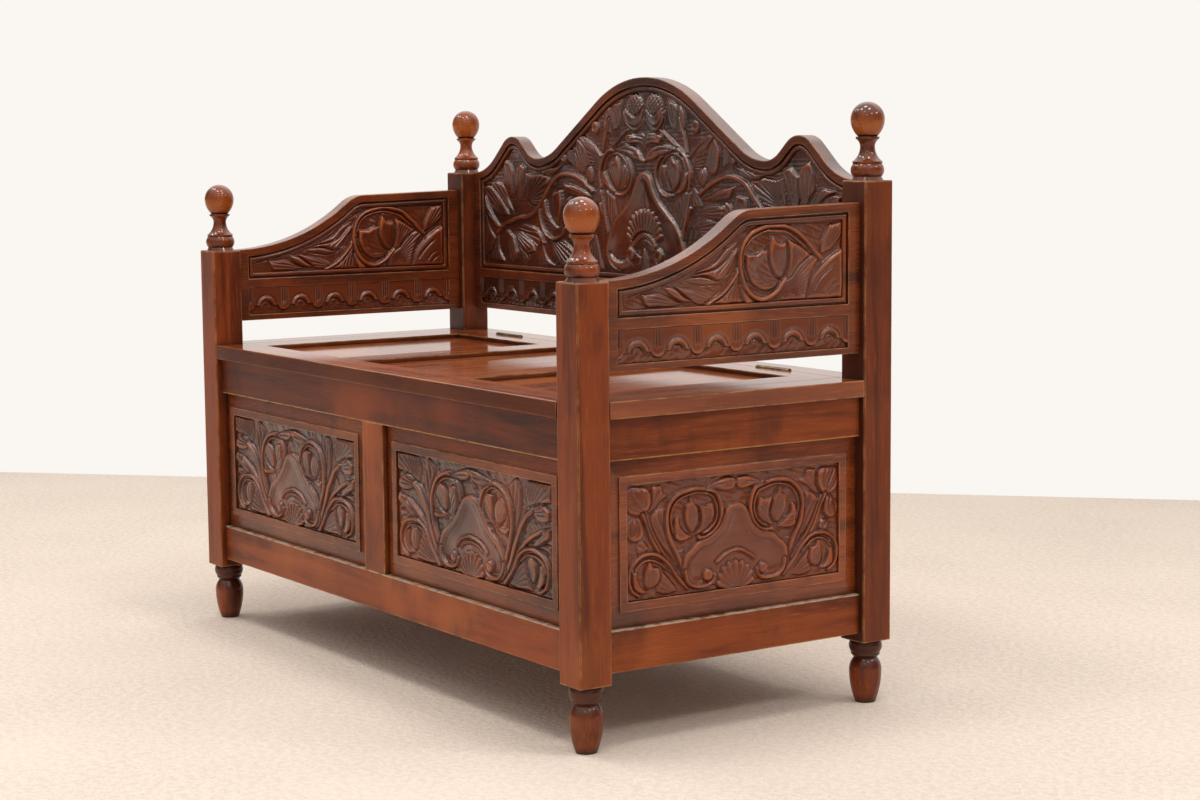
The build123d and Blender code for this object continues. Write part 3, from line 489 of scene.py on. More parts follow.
def draw_back_middle(r):
    """The bell of the back with its shell, and the sprays and buds over it."""
    r.shape((84, 806), [(72, 812), (62, 832), (62, 853)], [(82, 848), (92, 832)],
            top=3.6, rays=((88, 790), 7, 1.0))
    r.shape((94, 800), [(90, 826), (96, 846)], [(108, 834), (110, 812)], top=3.8, rays=((96, 786), 6, 0.9))
    r.shape((193, 800), [(162, 796), (130, 772), (118, 764)], [(140, 738), (172, 742), (193, 774)],
            top=3.4, rim=6, rays=((108, 752), 8, 1.2))
    r.shape((188, 796), [(170, 782), (152, 750)], [(172, 738), (190, 744), (198, 770)],
            top=4.2, rim=6, rays=((162, 726), 7, 0.9))
    r.shape((200, 748), [(206, 776)], [(226, 782), (222, 758)], top=2.8, rays=((192, 738), 7, 0.8))
    r.ball((137, 812), (11.5, 11.5), 5.2)
    r.ball((230, 762), (9, 9), 5.0)
    r.ball((155, 735), (12, 15), 4.8, studs=6.0)
    r.shape((122, 722), [(140, 712), (150, 690)], [(128, 690), (118, 704)],
            top=2.6, rays=((112, 736), 7, 0.8))
    r.shape((84, 700), [(110, 712), (112, 690), (100, 662), (92, 644)], [(78, 668)],
            top=2.6, dish=0.2, rays=((98, 630), 8, 0.8))
    r.band([(122, 720), (119, 758), (109, 790), (96, 826)], 3.2, 4.6, thin=0.5)
    r.band([(119, 764), (146, 785), (172, 797)], 2.4, 4.2, thin=0.4)
    r.band([(117, 766), (88, 782), (62, 798), (44, 808)], 2.6, 4.4, thin=0.4)
    r.band([(102, 640), (112, 676), (120, 706), (122, 726)], 3.6, 4.6, groove=0.2)
    r.shape((112, 750), [(118, 732), (110, 718), (92, 708), (76, 708)], [(96, 722)],
            top=3.8, rim=3, rays=((72, 704), 6, 0.6))
    r.shape((46, 754), [(58, 752), (64, 730), (76, 710)], [(52, 716), (40, 732)],
            top=3.9, rim=3, rays=((80, 704), 6, 0.6))
    r.shape((76, 770), [(68, 758), (62, 738), (68, 720), (78, 710)], [(92, 724), (96, 744), (90, 760)],
            [(82, 760)], top=5.0, rim=8, rays=((77, 698), 7, 0.9))
    ring = [(120, 716), (123, 740), (114, 762), (96, 775), (75, 778), (52, 770), (36, 752), (33, 732)]
    r.band(ring + [(43, 714), (60, 705), (78, 706)], 3.2, 5.4, thin=0.2)
    r.band([(112, 744), (104, 760), (92, 768), (75, 771), (57, 763), (43, 748), (41, 733), (48, 720)],
           1.7, 3.8)
    r.shape((88, 778), [(52, 786), (20, 780), (0, 756)], [(24, 762), (50, 768)],
            top=4.6, rays=((92, 780), 9, 0.9))
    r.cut((70, 778), (38, 776), (10, 766), depth=1.2)
    r.shape((0, 775), [(12, 786), (44, 786)], [(46, 800), (6, 802)], [(0, 796)], top=4.4, rim=4)
    for rise in (790, 796):
        r.cut((4, rise), (26, rise + 3), (46, rise - 1), width=1.5, depth=1.5)
    r.shape((0, 826), [(12, 812), (30, 804), (50, 818), (56, 838)], [(40, 826), (22, 822)],
            top=4.2, rays=((28, 796), 7, 0.8))
    r.ball((26, 842), (25, 22), 5.4, studs=9.0)
    r.shape((2, 842), [(8, 822), (27, 812), (46, 822), (51, 842)], [(38, 834), (27, 830), (14, 834)],
            top=5.4, rim=4, rays=((27, 800), 6, 0.8))
    bell = [(-14, 733), (0, 738), (13, 732), (25, 711), (38, 694), (58, 677), (80, 660), (96, 640)]
    r.shoulder(bell + [(103, 616), (95, 596), (74, 588), (52, 590)], 4.6, 5.2, 2.4, 11.0)
    r.hollow((66, 622), 30.0, 0.7)
    r.cut((6, 728), (19, 706), (36, 686), (60, 668), (80, 650), (92, 630), width=1.3, depth=0.6)
    r.shape((40, 590), [(64, 586), (88, 594), (96, 612)], [(80, 602), (60, 602), (46, 610)], top=4.4, rim=5)
    r.shell((0, 622), 66, 13, 5.2, spread=1.25)
    r.ball((0, 628), (30, 20), 3.2)
    r.band([(-12, 640), (0, 643), (14, 639), (26, 630), (34, 618)], 4.2, 5.2, groove=0.3)
    r.ball((38, 612), (12, 12), 5.7)
    r.shape((-12, 584), [(-10, 604), (0, 624)], [(10, 604), (12, 584)], [],
            top=4.2, rays=((0, 570), 6, 0.7))


def draw_back(r):
    """Two budding sprays over a bell, with scrolling stems out to the ends. Real x and z."""
    draw_back_wing(r)
    draw_back_middle(r)


def draw_band(r, low, pitch, shift):
    """Round arches between drooping pendants, with scored lines, just over the arcade of the solids."""
    u = np.abs((r.s - shift) % pitch - pitch / 2)
    w = pitch / 2 - u
    t = r.t - low

    def line(gap, width):
        return np.exp(-((gap / width) ** 2))

    opening = 10.5 + np.sqrt(np.clip(ARCH_RADIUS**2 - u**2, 0, None)) - 0.5
    pendant = 13.2 - PENDANT * np.sqrt(np.clip(1 - (w / 10.2) ** 2, 0, 1))
    edge = np.where(u < 12.0, opening, np.minimum(13.4, pendant))
    rise = np.clip((t - edge) / 1.5, 0, 1)
    valance = VALANCE + 0.3 * np.sin(np.pi * np.clip((t + 4) / 46, 0, 1))
    crown = np.hypot(u, t - 12)
    valance += 1.3 * line(crown - 14.8, 2.2) * (t > 12)
    valance -= 0.7 * line(crown - 19.0, 1.4) * (t > 13)
    valance += 0.7 * np.cos(2 * np.pi * w / FLUTE) * np.exp(-((w / 8) ** 4)) * np.clip((t - 17) / 6, 0, 1)
    valance += 1.0 * np.exp(-((w / 6.0) ** 2) - ((t - 11) / 6) ** 2)
    r.height += 1.2 * line(crown - 6.5, 1.6) * (t > 10)
    valance = np.maximum(valance, VALANCE_LEAST)
    r.height = r.height + (valance - r.height) * rise * rise * (3 - 2 * rise)


# Meshes of the carving


def top_line(node, along):
    """A board's upper outline, from the faces across its thickness: places along it and heights, in mm."""
    mesh = frame["nodes"][node].data
    low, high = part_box(node)
    through = 1 if along == 0 else 0
    thick = high[through] - low[through]
    points = set()
    for face in mesh.polygons:
        corners = [mesh.vertices[i].co for i in face.vertices]
        spans = max(c[through] for c in corners) - min(c[through] for c in corners)
        if face.normal.z > 0.3 and spans > 0.9 * thick:
            points.update((round(c[along] / MM, 2), round(c.z / MM, 2)) for c in corners)
    points = np.array(sorted(points))
    return points[points[:, 1] > points[:, 1].max() - OUTLINE_FALL]


def sunk_line(node, along, half):
    """The top of a board's sunk field: its outline moved in by the rim, within the given half width."""
    line = top_line(node, along)
    step = np.gradient(line, axis=0)
    step /= np.linalg.norm(step, axis=1)[:, None]
    inner = line + (EDGE_RIM + CLEAR) * np.stack([step[:, 1], -step[:, 0]], 1)
    inner = inner[np.argsort(inner[:, 0])]
    return inner[np.abs(inner[:, 0]) <= half + OUTLINE_MORE]


def field_grid(left, right, low, top, spacing):
    """A grid over a field from left to right, between a level foot and a top line (or a level top)."""
    columns = np.linspace(left, right, int((right - left) / spacing) + 1)
    tops = np.interp(columns, *top.T) if isinstance(top, np.ndarray) else np.full(len(columns), top)
    rows = np.linspace(0, 1, int((tops.max() - low) / spacing) + 1)[:, None]
    return np.tile(columns, (len(rows), 1)), low + rows * (tops - low)


def carving(name, relief, depth, origin, across, outward, material):
    """A closed slab whose face is the relief, bedded a little into the ground of its field."""
    height, glaze_and_shade, wear = relief.finished(depth)
    origin, across, outward = (np.array(v, float) for v in (origin, across, outward))
    upward = np.array([0, 0, 1.0])
    rows, columns = height.shape

    def place(s, t, h):
        return (origin + s[:, None] * across + t[:, None] * upward + h[:, None] * outward) * MM

    face = place(relief.across.ravel(), relief.up.ravel(), height.ravel())
    index = np.arange(rows * columns).reshape(rows, columns)
    quads = np.stack([index[:-1, :-1], index[:-1, 1:], index[1:, 1:], index[1:, :-1]], -1).reshape(-1, 4)
    rim = np.concatenate([index[0, :-1], index[:-1, -1], index[-1, :0:-1], index[:0:-1, 0]])
    foot = place(relief.across.ravel()[rim], relief.up.ravel()[rim], np.full(len(rim), -BEDDING))
    lower = np.arange(len(rim)) + rows * columns
    walls = np.stack([np.roll(rim, -1), rim, lower, np.roll(lower, -1)], -1)
    mesh = bpy.data.meshes.new(name)
    faces = quads.tolist() + walls.tolist() + [lower[::-1].tolist()]
    mesh.from_pydata(np.vstack([face, foot]).tolist(), [], faces)
    mesh.polygons.foreach_set("use_smooth", [True] * len(quads) + [False] * (len(rim) + 1))
    for label, values in (("glaze_and_shade", glaze_and_shade), ("wear", wear)):
        values = np.concatenate([values.ravel(), np.ones(len(rim))]).astype(np.float32)
        mesh.attributes.new(label, "FLOAT", "POINT").data.foreach_set("value", values)
    shape = bmesh.new()
    shape.from_mesh(mesh)
    bmesh.ops.recalc_face_normals(shape, faces=shape.faces)
    shape.to_mesh(mesh)
    shape.free()
    piece = bpy.data.objects.new(name, mesh)
    bpy.context.scene.collection.objects.link(piece)
    mesh.materials.append(material)
    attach(piece, "frame")


def carve_panel(node, draw, across, outward, material, seed):
    """Fills the sunk field of a box panel with one of the designs."""
    low, high = (np.array(corner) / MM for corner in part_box(node))
    across, outward = np.array(across, float), np.array(outward, float)
    middle = (low + high) / 2
    half = abs((high - low) @ across) / 2 - PANEL_RIM - CLEAR
    face = middle + outward * abs((high - low) @ outward) / 2 - outward * PANEL_SUNK
    foot = low[2] + PANEL_RIM + CLEAR
    s, t = field_grid(-half, half, 0.0, high[2] - PANEL_RIM - CLEAR - foot, GRID)
    relief = Relief(s, t, seed, True)
    draw(relief)
    carving(f"{node}_carving", relief, PANEL_SUNK - PANEL_SHY, (*face[:2], foot), across, outward, material)


def carve_band(name, low, half, arches, place, across, outward, material, seed):
    """Fills the band along the foot of a board with arches, which are cut to a pattern and don't wander."""
    foot = low + BAND_LIFT + CLEAR
    s, t = field_grid(-half, half, foot, low + BAND_LIFT + BAND_HEIGHT - CLEAR, BAND_GRID)
    relief = Relief(s, t, seed, False)
    relief.s, relief.t = s, t
    draw_band(relief, foot, 2 * (half + CLEAR) / arches, half + CLEAR)
    carving(name, relief, BAND_SUNK - SHY, place, across, outward, material)


def carve_arm(node, side, sign, material, band, seed):
    """Fills the field and the band of one face of an arm."""
    low, high = (np.array(corner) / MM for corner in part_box(node))
    face = high[0] if sign > 0 else low[0]
    across, outward = (0, 1, 0), (sign, 0, 0)
    half = POST_FACE - BOARD_RIM - CLEAR
    top = sunk_line(node, 1, half)
    s, t = field_grid(-half, half, low[2] + FIELD_LIFT + CLEAR, top, GRID)
    relief = Relief(s, t, seed, False)
    draw_arm(relief)
    place = (face - sign * BOARD_SUNK, 0, 0)
    carving(f"{node}_{side}_carving", relief, BOARD_SUNK - SHY, place, across, outward, material)
    half = POST_FACE - BAND_RIM - CLEAR
    place = (face - sign * BAND_SUNK, 0, 0)
    carve_band(f"{node}_{side}_band", low[2], half, ARM_ARCHES, place, across, outward, band, seed + 5)


def carve_back(material, band, seed):
    """Fills the field of the back board in two halves, and its band."""
    low = np.array(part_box("back_board")[0]) / MM
    across, outward = (1, 0, 0), (0, -1, 0)
    half = END_POST_FACE - BOARD_RIM - CLEAR
    top = sunk_line("back_board", 0, half)
    place = (0, low[1] + BOARD_SUNK, 0)
    for side, left, right in (("left", -half, 0.0), ("right", 0.0, half)):
        s, t = field_grid(left, right, low[2] + FIELD_LIFT + CLEAR, top, BACK_GRID)
        relief = Relief(s, t, seed, True)
        draw_back(relief)
        carving(f"back_board_{side}_carving", relief, BOARD_SUNK - SHY, place, across, outward, material)
    half = END_POST_FACE - BAND_RIM - CLEAR
    place = (0, low[1] + BAND_SUNK, 0)
    carve_band("back_board_band", low[2], half, BACK_ARCHES, place, across, outward, band, seed + 5)


# Materials


class Nodes:
    """The node tree of a material or the world, with short calls for the nodes that are used here."""

    def __init__(self, owner):
        owner.use_nodes = True
        self.owner = owner
        self.tree = owner.node_tree
        self.shader = self.tree.nodes.get("Principled BSDF")

    def add(self, kind, inputs=(), **settings):
        node = self.tree.nodes.new(kind)
        for key, value in settings.items():
            setattr(node, key, value)
        self.fill(node, inputs)
        return node

    def fill(self, node, inputs):
        for key, value in dict(inputs).items():
            self.set(node.inputs[key], value)

    def set(self, socket, value):
        """Links another node's output, or writes a number, a vector or a colour."""
        if isinstance(value, bpy.types.NodeSocket):
            self.tree.links.new(value, socket)
        elif socket.type == "RGBA":
            socket.default_value = (*value, 1)
        else:
            socket.default_value = value

    def place(self):
        return self.add("ShaderNodeTexCoord").outputs["Object"]

    def normal(self):
        return self.add("ShaderNodeNewGeometry").outputs["Normal"]

    def noise(self, scale, detail, rough=0.6, distortion=0.0, stretch=(1.0, 1.0, 1.0)):
        """Noise over object coordinates, which are scaled apart along the three axes."""
        inputs = {"Scale": scale, "Detail": detail, "Roughness": rough, "Distortion": distortion}
        inputs["Vector"] = self.vector("MULTIPLY", self.place(), stretch).outputs[0]
        return self.add("ShaderNodeTexNoise", inputs).outputs["Fac"]

    def span(self, value, low, high, out_low=0.0, out_high=1.0):
        inputs = {"Value": value, "From Min": low, "From Max": high, "To Min": out_low, "To Max": out_high}
        return self.add("ShaderNodeMapRange", inputs, interpolation_type="SMOOTHSTEP").outputs[0]

    def math(self, operation, a, b=0.0):
        return self.add("ShaderNodeMath", {0: a, 1: b}, operation=operation).outputs[0]

    def vector(self, operation, a, b=(0.0, 0.0, 0.0)):
        return self.add("ShaderNodeVectorMath", {0: a, 1: b}, operation=operation)

    def mix(self, share, a, b):
        node = self.add("ShaderNodeMix", data_type="RGBA")
        self.fill(node, {0: share, 6: a, 7: b})
        return node.outputs[2]

    def arris(self, radius):
        """How close an outer edge is, and the normal rounded over it."""
        rounded = self.add("ShaderNodeBevel", {"Radius": radius}, samples=6).outputs[0]
        dot = self.vector("DOT_PRODUCT", rounded, self.normal()).outputs["Value"]
        return self.math("SUBTRACT", 1.0, dot), rounded

    def hollow(self, reach):
        """How open a place is: 1 on open faces, towards 0 in corners and grooves."""
        return self.add("ShaderNodeAmbientOcclusion", {"Distance": reach}, samples=6).outputs["AO"]


DARK = (0.040, 0.009, 0.005)
DEEP = (0.115, 0.020, 0.004)
MIDDLE = (0.258, 0.052, 0.010)
LIGHT = (0.396, 0.101, 0.021)
WORN = (0.560, 0.270, 0.095)
RUBBED = (0.370, 0.088, 0.016)
BARE = (0.500, 0.400, 0.300)
GOLD = (0.440, 0.230, 0.060)
PALE_BAND = (0.440, 0.112, 0.013)
# Colour of the dark glaze and painted shade in hollows and inner corners
GLAZE_AND_SHADE = (0.024, 0.008, 0.005)
POST_TONES = ((0.085, 0.015, 0.004), (0.225, 0.044, 0.010), (0.38, 0.098, 0.021))
GRAIN = {"x": (1.0, 14.0, 14.0), "y": (14.0, 1.0, 14.0), "z": (14.0, 14.0, 1.0)}

# Heights, in metres: chipped lines where panels meet rails, and a foot's neck. Drops from a finial's top.
TOP_JOINT = (0.3818, 0.3838)
SILL_JOINT = (0.1572, 0.1592)
FOOT_NECK = (0.040, 0.064)
BALL_DROPS = (0.052, 0.036, 0.012)


def grain(nodes, axis, deep, middle, light, fine=1.0):
    """Streaked hardwood: broad bands, fibres and dark pores. Returns the colour and the fibres' height."""
    wide = GRAIN[axis]
    narrow = tuple(v * (3.0 if v > 1 else 0.7) for v in wide)
    broad = nodes.noise(2.6, 3.0, 0.5, 0.6, wide)
    fibres = nodes.noise(26.0, 4.0, stretch=wide)
    pores = nodes.noise(30.0, 2.0, 0.5, stretch=narrow)
    blotches = nodes.noise(5.0, 2.0, 0.5)
    colour = nodes.mix(nodes.span(broad, 0.30, 0.62), deep, middle)
    colour = nodes.mix(nodes.span(blotches, 0.48, 0.75, 0.0, 0.75), colour, light)
    colour = nodes.mix(nodes.span(fibres, 0.52, 0.74, 0.0, 0.45 * fine), colour, light)
    colour = nodes.mix(nodes.span(pores, 0.56, 0.70, 0.0, 0.55 * fine), colour, deep)
    return colour, nodes.math("SUBTRACT", fibres, nodes.span(pores, 0.5, 0.7))


def lacquer(nodes, colour, fibre, normal, roughness, coat, coat_roughness, bump, sheen):
    """The finish: colour under a satin or glossy coat, with the fibres just showing through."""
    raised = {"Height": fibre, "Strength": bump, "Distance": 0.0004, "Normal": normal}
    nodes.fill(nodes.shader, {
        "Base Color": colour,
        "Roughness": nodes.span(fibre, -0.6, 0.7, roughness - 0.05, roughness + 0.08),
        "Normal": nodes.add("ShaderNodeBump", raised).outputs[0],
        "Coat Weight": coat,
        "Coat Roughness": coat_roughness,
        "Specular IOR Level": sheen,
    })


def wood(name, axis, tones=(DEEP, MIDDLE, LIGHT), roughness=0.33, coat=0.0, coat_roughness=0.2,
         sheen=0.25, wear=0.95, dirt_and_shade=0.75, bare=(), front_shade=0.0, arris=0.004, reach=0.022,
         shut=(0.25, 0.85), seam_and_shade=0.9, pale=(), stain=0.55, darker_above=()):
    """Lacquered wood with stains, worn arrises, and corners darkened by dirt, glaze and painted shade.

    Bare lines are chipped, pale heights turn lighter, heights given to darken turn darker upward, and
    painted shade darkens faces towards the front and, less, towards the sides.
    """
    nodes = Nodes(bpy.data.materials.new(name))
    colour, fibre = grain(nodes, axis, *tones)
    edge, rounded = nodes.arris(arris)
    open_near = nodes.hollow(0.005)
    patches = nodes.noise(34.0, 3.0)
    worn = nodes.span(patches, 0.36, 0.60, 0.12, wear)
    rubbed = nodes.math("MULTIPLY", nodes.span(edge, 0.006, 0.12), worn)
    rubbed = nodes.math("MULTIPLY", rubbed, nodes.span(open_near, 0.55, 0.85))
    stains = nodes.noise(9.0, 4.0, stretch=(1.0, 1.0, 0.6))
    colour = nodes.mix(nodes.span(stains, 0.50, 0.70, 0.0, stain), colour, DARK)
    height = nodes.add("ShaderNodeSeparateXYZ", {0: nodes.place()}).outputs[2]
    # A band of heights turns lighter
    if pale:
        low, full, high = pale
        fading = nodes.span(height, full, high, 0.6, 0.0)
        colour = nodes.mix(nodes.math("MULTIPLY", nodes.span(height, low, full), fading), colour, PALE_BAND)
    # Darker towards the top between the given heights
    if darker_above:
        colour = nodes.mix(nodes.span(height, *darker_above, 0.0, 0.85), colour, DARK)
    # Painted shade: faces towards the front darken, faces towards the sides a little, and the front faces
    # lose some coat
    if front_shade:
        facing = nodes.add("ShaderNodeSeparateXYZ", {0: nodes.normal()}).outputs
        colour = nodes.mix(nodes.span(facing[1], -0.5, -0.9, 0.0, front_shade), colour, DARK)
        sideways = nodes.math("ABSOLUTE", facing[0])
        colour = nodes.mix(nodes.span(sideways, 0.5, 0.9, 0.0, 0.3), colour, DARK)
        coat = nodes.span(facing[1], -0.9, -0.5, 0.1, coat)
    # Dirt and painted shade: the colour darkens where ambient occlusion finds corners and recesses
    colour = nodes.mix(nodes.span(nodes.hollow(reach), *shut, dirt_and_shade, 0.0), colour, DARK)
    # Glaze and painted shade: inner corners and narrow grooves darken towards the glaze colour
    colour = nodes.mix(nodes.span(open_near, 0.30, 0.72, seam_and_shade, 0.0), colour, GLAZE_AND_SHADE)
    colour = nodes.mix(rubbed, colour, WORN)
    if bare and axis != "z":
        chips = nodes.span(nodes.noise(60.0, 3.0, stretch=(1.0, 1.0, 5.0)), 0.36, 0.56, 0.1, 0.8)
        for (low, high), under in bare:
            off = nodes.math("ABSOLUTE", nodes.math("SUBTRACT", height, (low + high) / 2))
            line = nodes.math("LESS_THAN", off, (high - low) / 2)
            colour = nodes.mix(nodes.math("MULTIPLY", line, chips), colour, under)
    lacquer(nodes, colour, fibre, rounded, roughness, coat, coat_roughness, 0.25, sheen)
    return nodes.owner


def carved_wood(name, axis, tones, facing, coat, rub, full=0.90, glazed_and_shaded=0.65):
    """The carved fields: dark glaze and painted shade in hollows, and lighter wood where hands have rubbed
    high places.
    """
    nodes = Nodes(bpy.data.materials.new(name))
    colour, fibre = grain(nodes, axis, *tones, fine=0.3)
    glaze_and_shade, wear = (
        nodes.add("ShaderNodeAttribute", attribute_name=label).outputs["Fac"] for label in ("glaze_and_shade", "wear")
    )
    patches = nodes.span(nodes.noise(24.0, 3.0), 0.30, 0.65, 0.3 * rub, rub)
    # Hollows take the glaze colour: partly real glaze, partly painted shade
    colour = nodes.mix(nodes.span(glaze_and_shade, 0.12, full, 0.0, glazed_and_shaded), colour, GLAZE_AND_SHADE)
    colour = nodes.mix(nodes.math("MULTIPLY", nodes.span(wear, 0.10, 0.8), patches), colour, RUBBED)
    steeper = tuple(1.0 if letter == facing else STEEPER for letter in "xyz")
    steep = nodes.vector("MULTIPLY", nodes.normal(), steeper).outputs[0]
    normal = nodes.vector("NORMALIZE", steep).outputs[0]
    lacquer(nodes, colour, fibre, normal, 0.19, coat, 0.15, 0.05, 0.45)
    return nodes.owner


def aged_brass(name):
    """Dull brass of the hinges, brighter along its edges."""
    nodes = Nodes(bpy.data.materials.new(name))
    stains = nodes.noise(90.0, 5.0, 0.65)
    colour = nodes.mix(nodes.span(stains, 0.35, 0.7), (0.16, 0.115, 0.07), (0.36, 0.27, 0.16))
    edge, rounded = nodes.arris(0.0006)
    nodes.fill(nodes.shader, {
        "Base Color": nodes.mix(nodes.span(edge, 0.03, 0.2, 0.0, 0.6), colour, (0.55, 0.45, 0.3)),
        "Roughness": nodes.span(stains, 0.3, 0.7, 0.42, 0.6),
        "Normal": rounded,
        "Metallic": 1.0,
    })
    return nodes.owner


BOARD = dict(dirt_and_shade=0.3, sheen=0.4, coat=0.3, seam_and_shade=0.15, arris=0.0024)
TURNED = dict(sheen=0.05, coat_roughness=0.06, arris=0.0005, reach=0.014, shut=(0.45, 0.97))
RECIPES = {
    "frame_wood": dict(bare=((TOP_JOINT, GOLD), (SILL_JOINT, BARE))),
    "post": dict(tones=POST_TONES),
    "rear_post": dict(tones=POST_TONES, front_shade=0.8),
    "foot": dict(TURNED, tones=((0.07, 0.014, 0.004), (0.24, 0.046, 0.007), (0.46, 0.110, 0.015)),
                 coat=0.6, wear=0.5, stain=0.3, darker_above=FOOT_NECK),
    "carved_wood": dict(BOARD, roughness=0.26, coat_roughness=0.15),
    "front_panel": dict(BOARD, tones=((0.07, 0.013, 0.004), (0.175, 0.035, 0.008), (0.27, 0.068, 0.015)),
                        dirt_and_shade=0.5, roughness=0.26, sheen=0.3, coat=0.2, coat_roughness=0.15, seam_and_shade=0.3),
    "arm": dict(BOARD, tones=((0.07, 0.013, 0.004), (0.185, 0.035, 0.006), (0.31, 0.078, 0.014)),
                roughness=0.24, coat_roughness=0.13),
    # The front top rail's darker tones are painted shade under the lid's overhang
    "top_rail": dict(tones=(DARK, (0.13, 0.024, 0.006), MIDDLE), bare=((TOP_JOINT, GOLD),)),
    "turned_wood": dict(TURNED, tones=(DARK, (0.23, 0.042, 0.006), (0.36, 0.080, 0.010)), roughness=0.30,
                        coat=0.7, wear=0.6, dirt_and_shade=1.0),
    "back": dict(tones=((0.036, 0.008, 0.004), (0.095, 0.018, 0.005), (0.185, 0.040, 0.010)),
                 roughness=0.24, sheen=0.4, coat=0.2, coat_roughness=0.13, dirt_and_shade=0.6, wear=0.5),
    "seat_wood": dict(tones=((0.18, 0.034, 0.007), (0.36, 0.082, 0.016), (0.50, 0.145, 0.030)),
                      roughness=0.35, sheen=0.1, coat=0.8, coat_roughness=0.10, wear=0.9, front_shade=0.8,
                      dirt_and_shade=0.9, shut=(0.35, 0.97), stain=0.3),
    "inner_wood": dict(tones=((0.16, 0.06, 0.028), (0.26, 0.11, 0.05), (0.36, 0.18, 0.09)),
                       roughness=0.55, coat=0.0, wear=0.3),
}
OWN_RECIPES = {
    "back_board": "back",
    "front_top_rail": "top_rail",
    "left_arm": "arm",
    "right_arm": "arm",
    "front_left_panel": "front_panel",
    "front_right_panel": "front_panel",
}


def grain_axis(node):
    """The axis that a wooden node's grain runs along: its longest one."""
    low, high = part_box(node)
    size = high - low
    return "xyz"[max(range(3), key=lambda axis: size[axis])]


def dress_nodes():
    """Gives every solid the material of its slot or its own, with the grain along its length."""
    made = {}
    slots = {part["node"]: part["material_slot"] for part in frame["record"]["subparts"]}
    for node, thing in frame["nodes"].items():
        recipe = OWN_RECIPES.get(node, slots[node])
        key = f"{recipe}_{grain_axis(node)}"
        extra = {}
        if node.endswith("_post"):
            recipe = key = "rear_post" if node.startswith("rear") else "post"
        elif node.endswith("_foot"):
            recipe = key = "foot"
        elif node.endswith("_finial"):
            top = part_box(node)[1][2]
            extra["pale"] = tuple(top - drop for drop in BALL_DROPS)
            key = f"turned_{top:.3f}"
        elif recipe == "hinge_metal":
            key = recipe
        if key not in made and recipe == "hinge_metal":
            made[key] = aged_brass(key)
        elif key not in made:
            made[key] = wood(key, grain_axis(node), **RECIPES[recipe], **extra)
        thing.data.materials.clear()
        thing.data.materials.append(made[key])


# The studio

CAMERA_PLACE = (3.0411, -1.9021, 0.8064)
CAMERA_TURN = 55.951
CAMERA_DIP = 6.517
CAMERA_ROLL = -0.489
CAMERA_LENS = 70.57
CAMERA_SENSOR = 36.0

FLOOR_COLOUR = (0.91, 0.785, 0.685)
PAPER_COLOUR = (0.955, 0.925, 0.885)
LAMP_COLOUR = (1.0, 0.97, 0.93)
CARPET_LEFT = (-2.44, 0.05, 0.0)
CARPET_RIGHT = (-0.41, 2.0, 0.0)
FAR = 14.0

# Strengths for rays that see a light and for the light it sheds
PAPER_STRENGTH = (1.0, 0.5)
ROOM_STRENGTH = (0.6, 0.30)

# Directions in which the room is brighter or darker: from which cosine, to which, and by how much
ROOM_SHARES = (
    ((-0.5, 0.87, 0.0), 0.2, 0.7, 2 / 3),
    ((0.0, 0.0, 1.0), 0.25, 0.85, 2.0),
    ((-0.82, -0.57, 0.0), 0.7, 0.95, -0.75),
    ((0.79, 0.61, 0.0), 0.7, 0.95, -0.75),
)

# Lamps under the ceiling: x, y and watts. Fills near the floor, which no gloss mirrors: place and watts
CEILING = 2.7
CEILING_SIZE = 0.5
CEILING_LAMPS = (
    (-2.2, -0.8, 9),
    (-1.2, -0.9, 10),
    (0.0, -0.8, 10),
    (0.25, 0.05, 10),
    (1.2, -1.2, 3.5),
    (1.2, 0.1, 11),
    (2.95, -2.3, 7),
    (3.1, -0.1, 9),
    (2.9, 1.9, 27),
)
FILL_SIZE = 0.6
FILL_TARGET = (0, 0, 0.15)
FILLS = {"front_fill": ((0.2, -4.6, 0.5), 30), "end_fill": ((6.4, 1.6, 0.55), 16)}


def make_camera():
    """The photograph's camera, from its place, angles and lens."""
    turn, dip, roll = (math.radians(angle) for angle in (CAMERA_TURN, CAMERA_DIP, CAMERA_ROLL))
    data = bpy.data.cameras.new("camera")
    data.lens = CAMERA_LENS
    data.sensor_width = CAMERA_SENSOR
    camera = bpy.data.objects.new("camera", data)
    aimed = Matrix.Rotation(turn, 4, "Z") @ Matrix.Rotation(math.pi / 2 - dip, 4, "X")
    camera.matrix_world = Matrix.Translation(CAMERA_PLACE) @ aimed @ Matrix.Rotation(roll, 4, "Z")
    bpy.context.scene.collection.objects.link(camera)
    bpy.context.scene.camera = camera


def seen_strength(nodes, seen, unseen):
    """A light's strength where camera, mirrors or glass see it, and another for the light it sheds."""
    path = nodes.add("ShaderNodeLightPath").outputs
    total = path["Is Camera Ray"]
    for other in ("Is Glossy Ray", "Is Transmission Ray"):
        total = nodes.math("MAXIMUM", total, path[other])
    inputs = {"Value": total, "To Min": unseen, "To Max": seen}
    return nodes.add("ShaderNodeMapRange", inputs).outputs[0]


def shade(factor):
    """The carpet's colour, darker or lighter."""
    return tuple(factor * v for v in FLOOR_COLOUR)


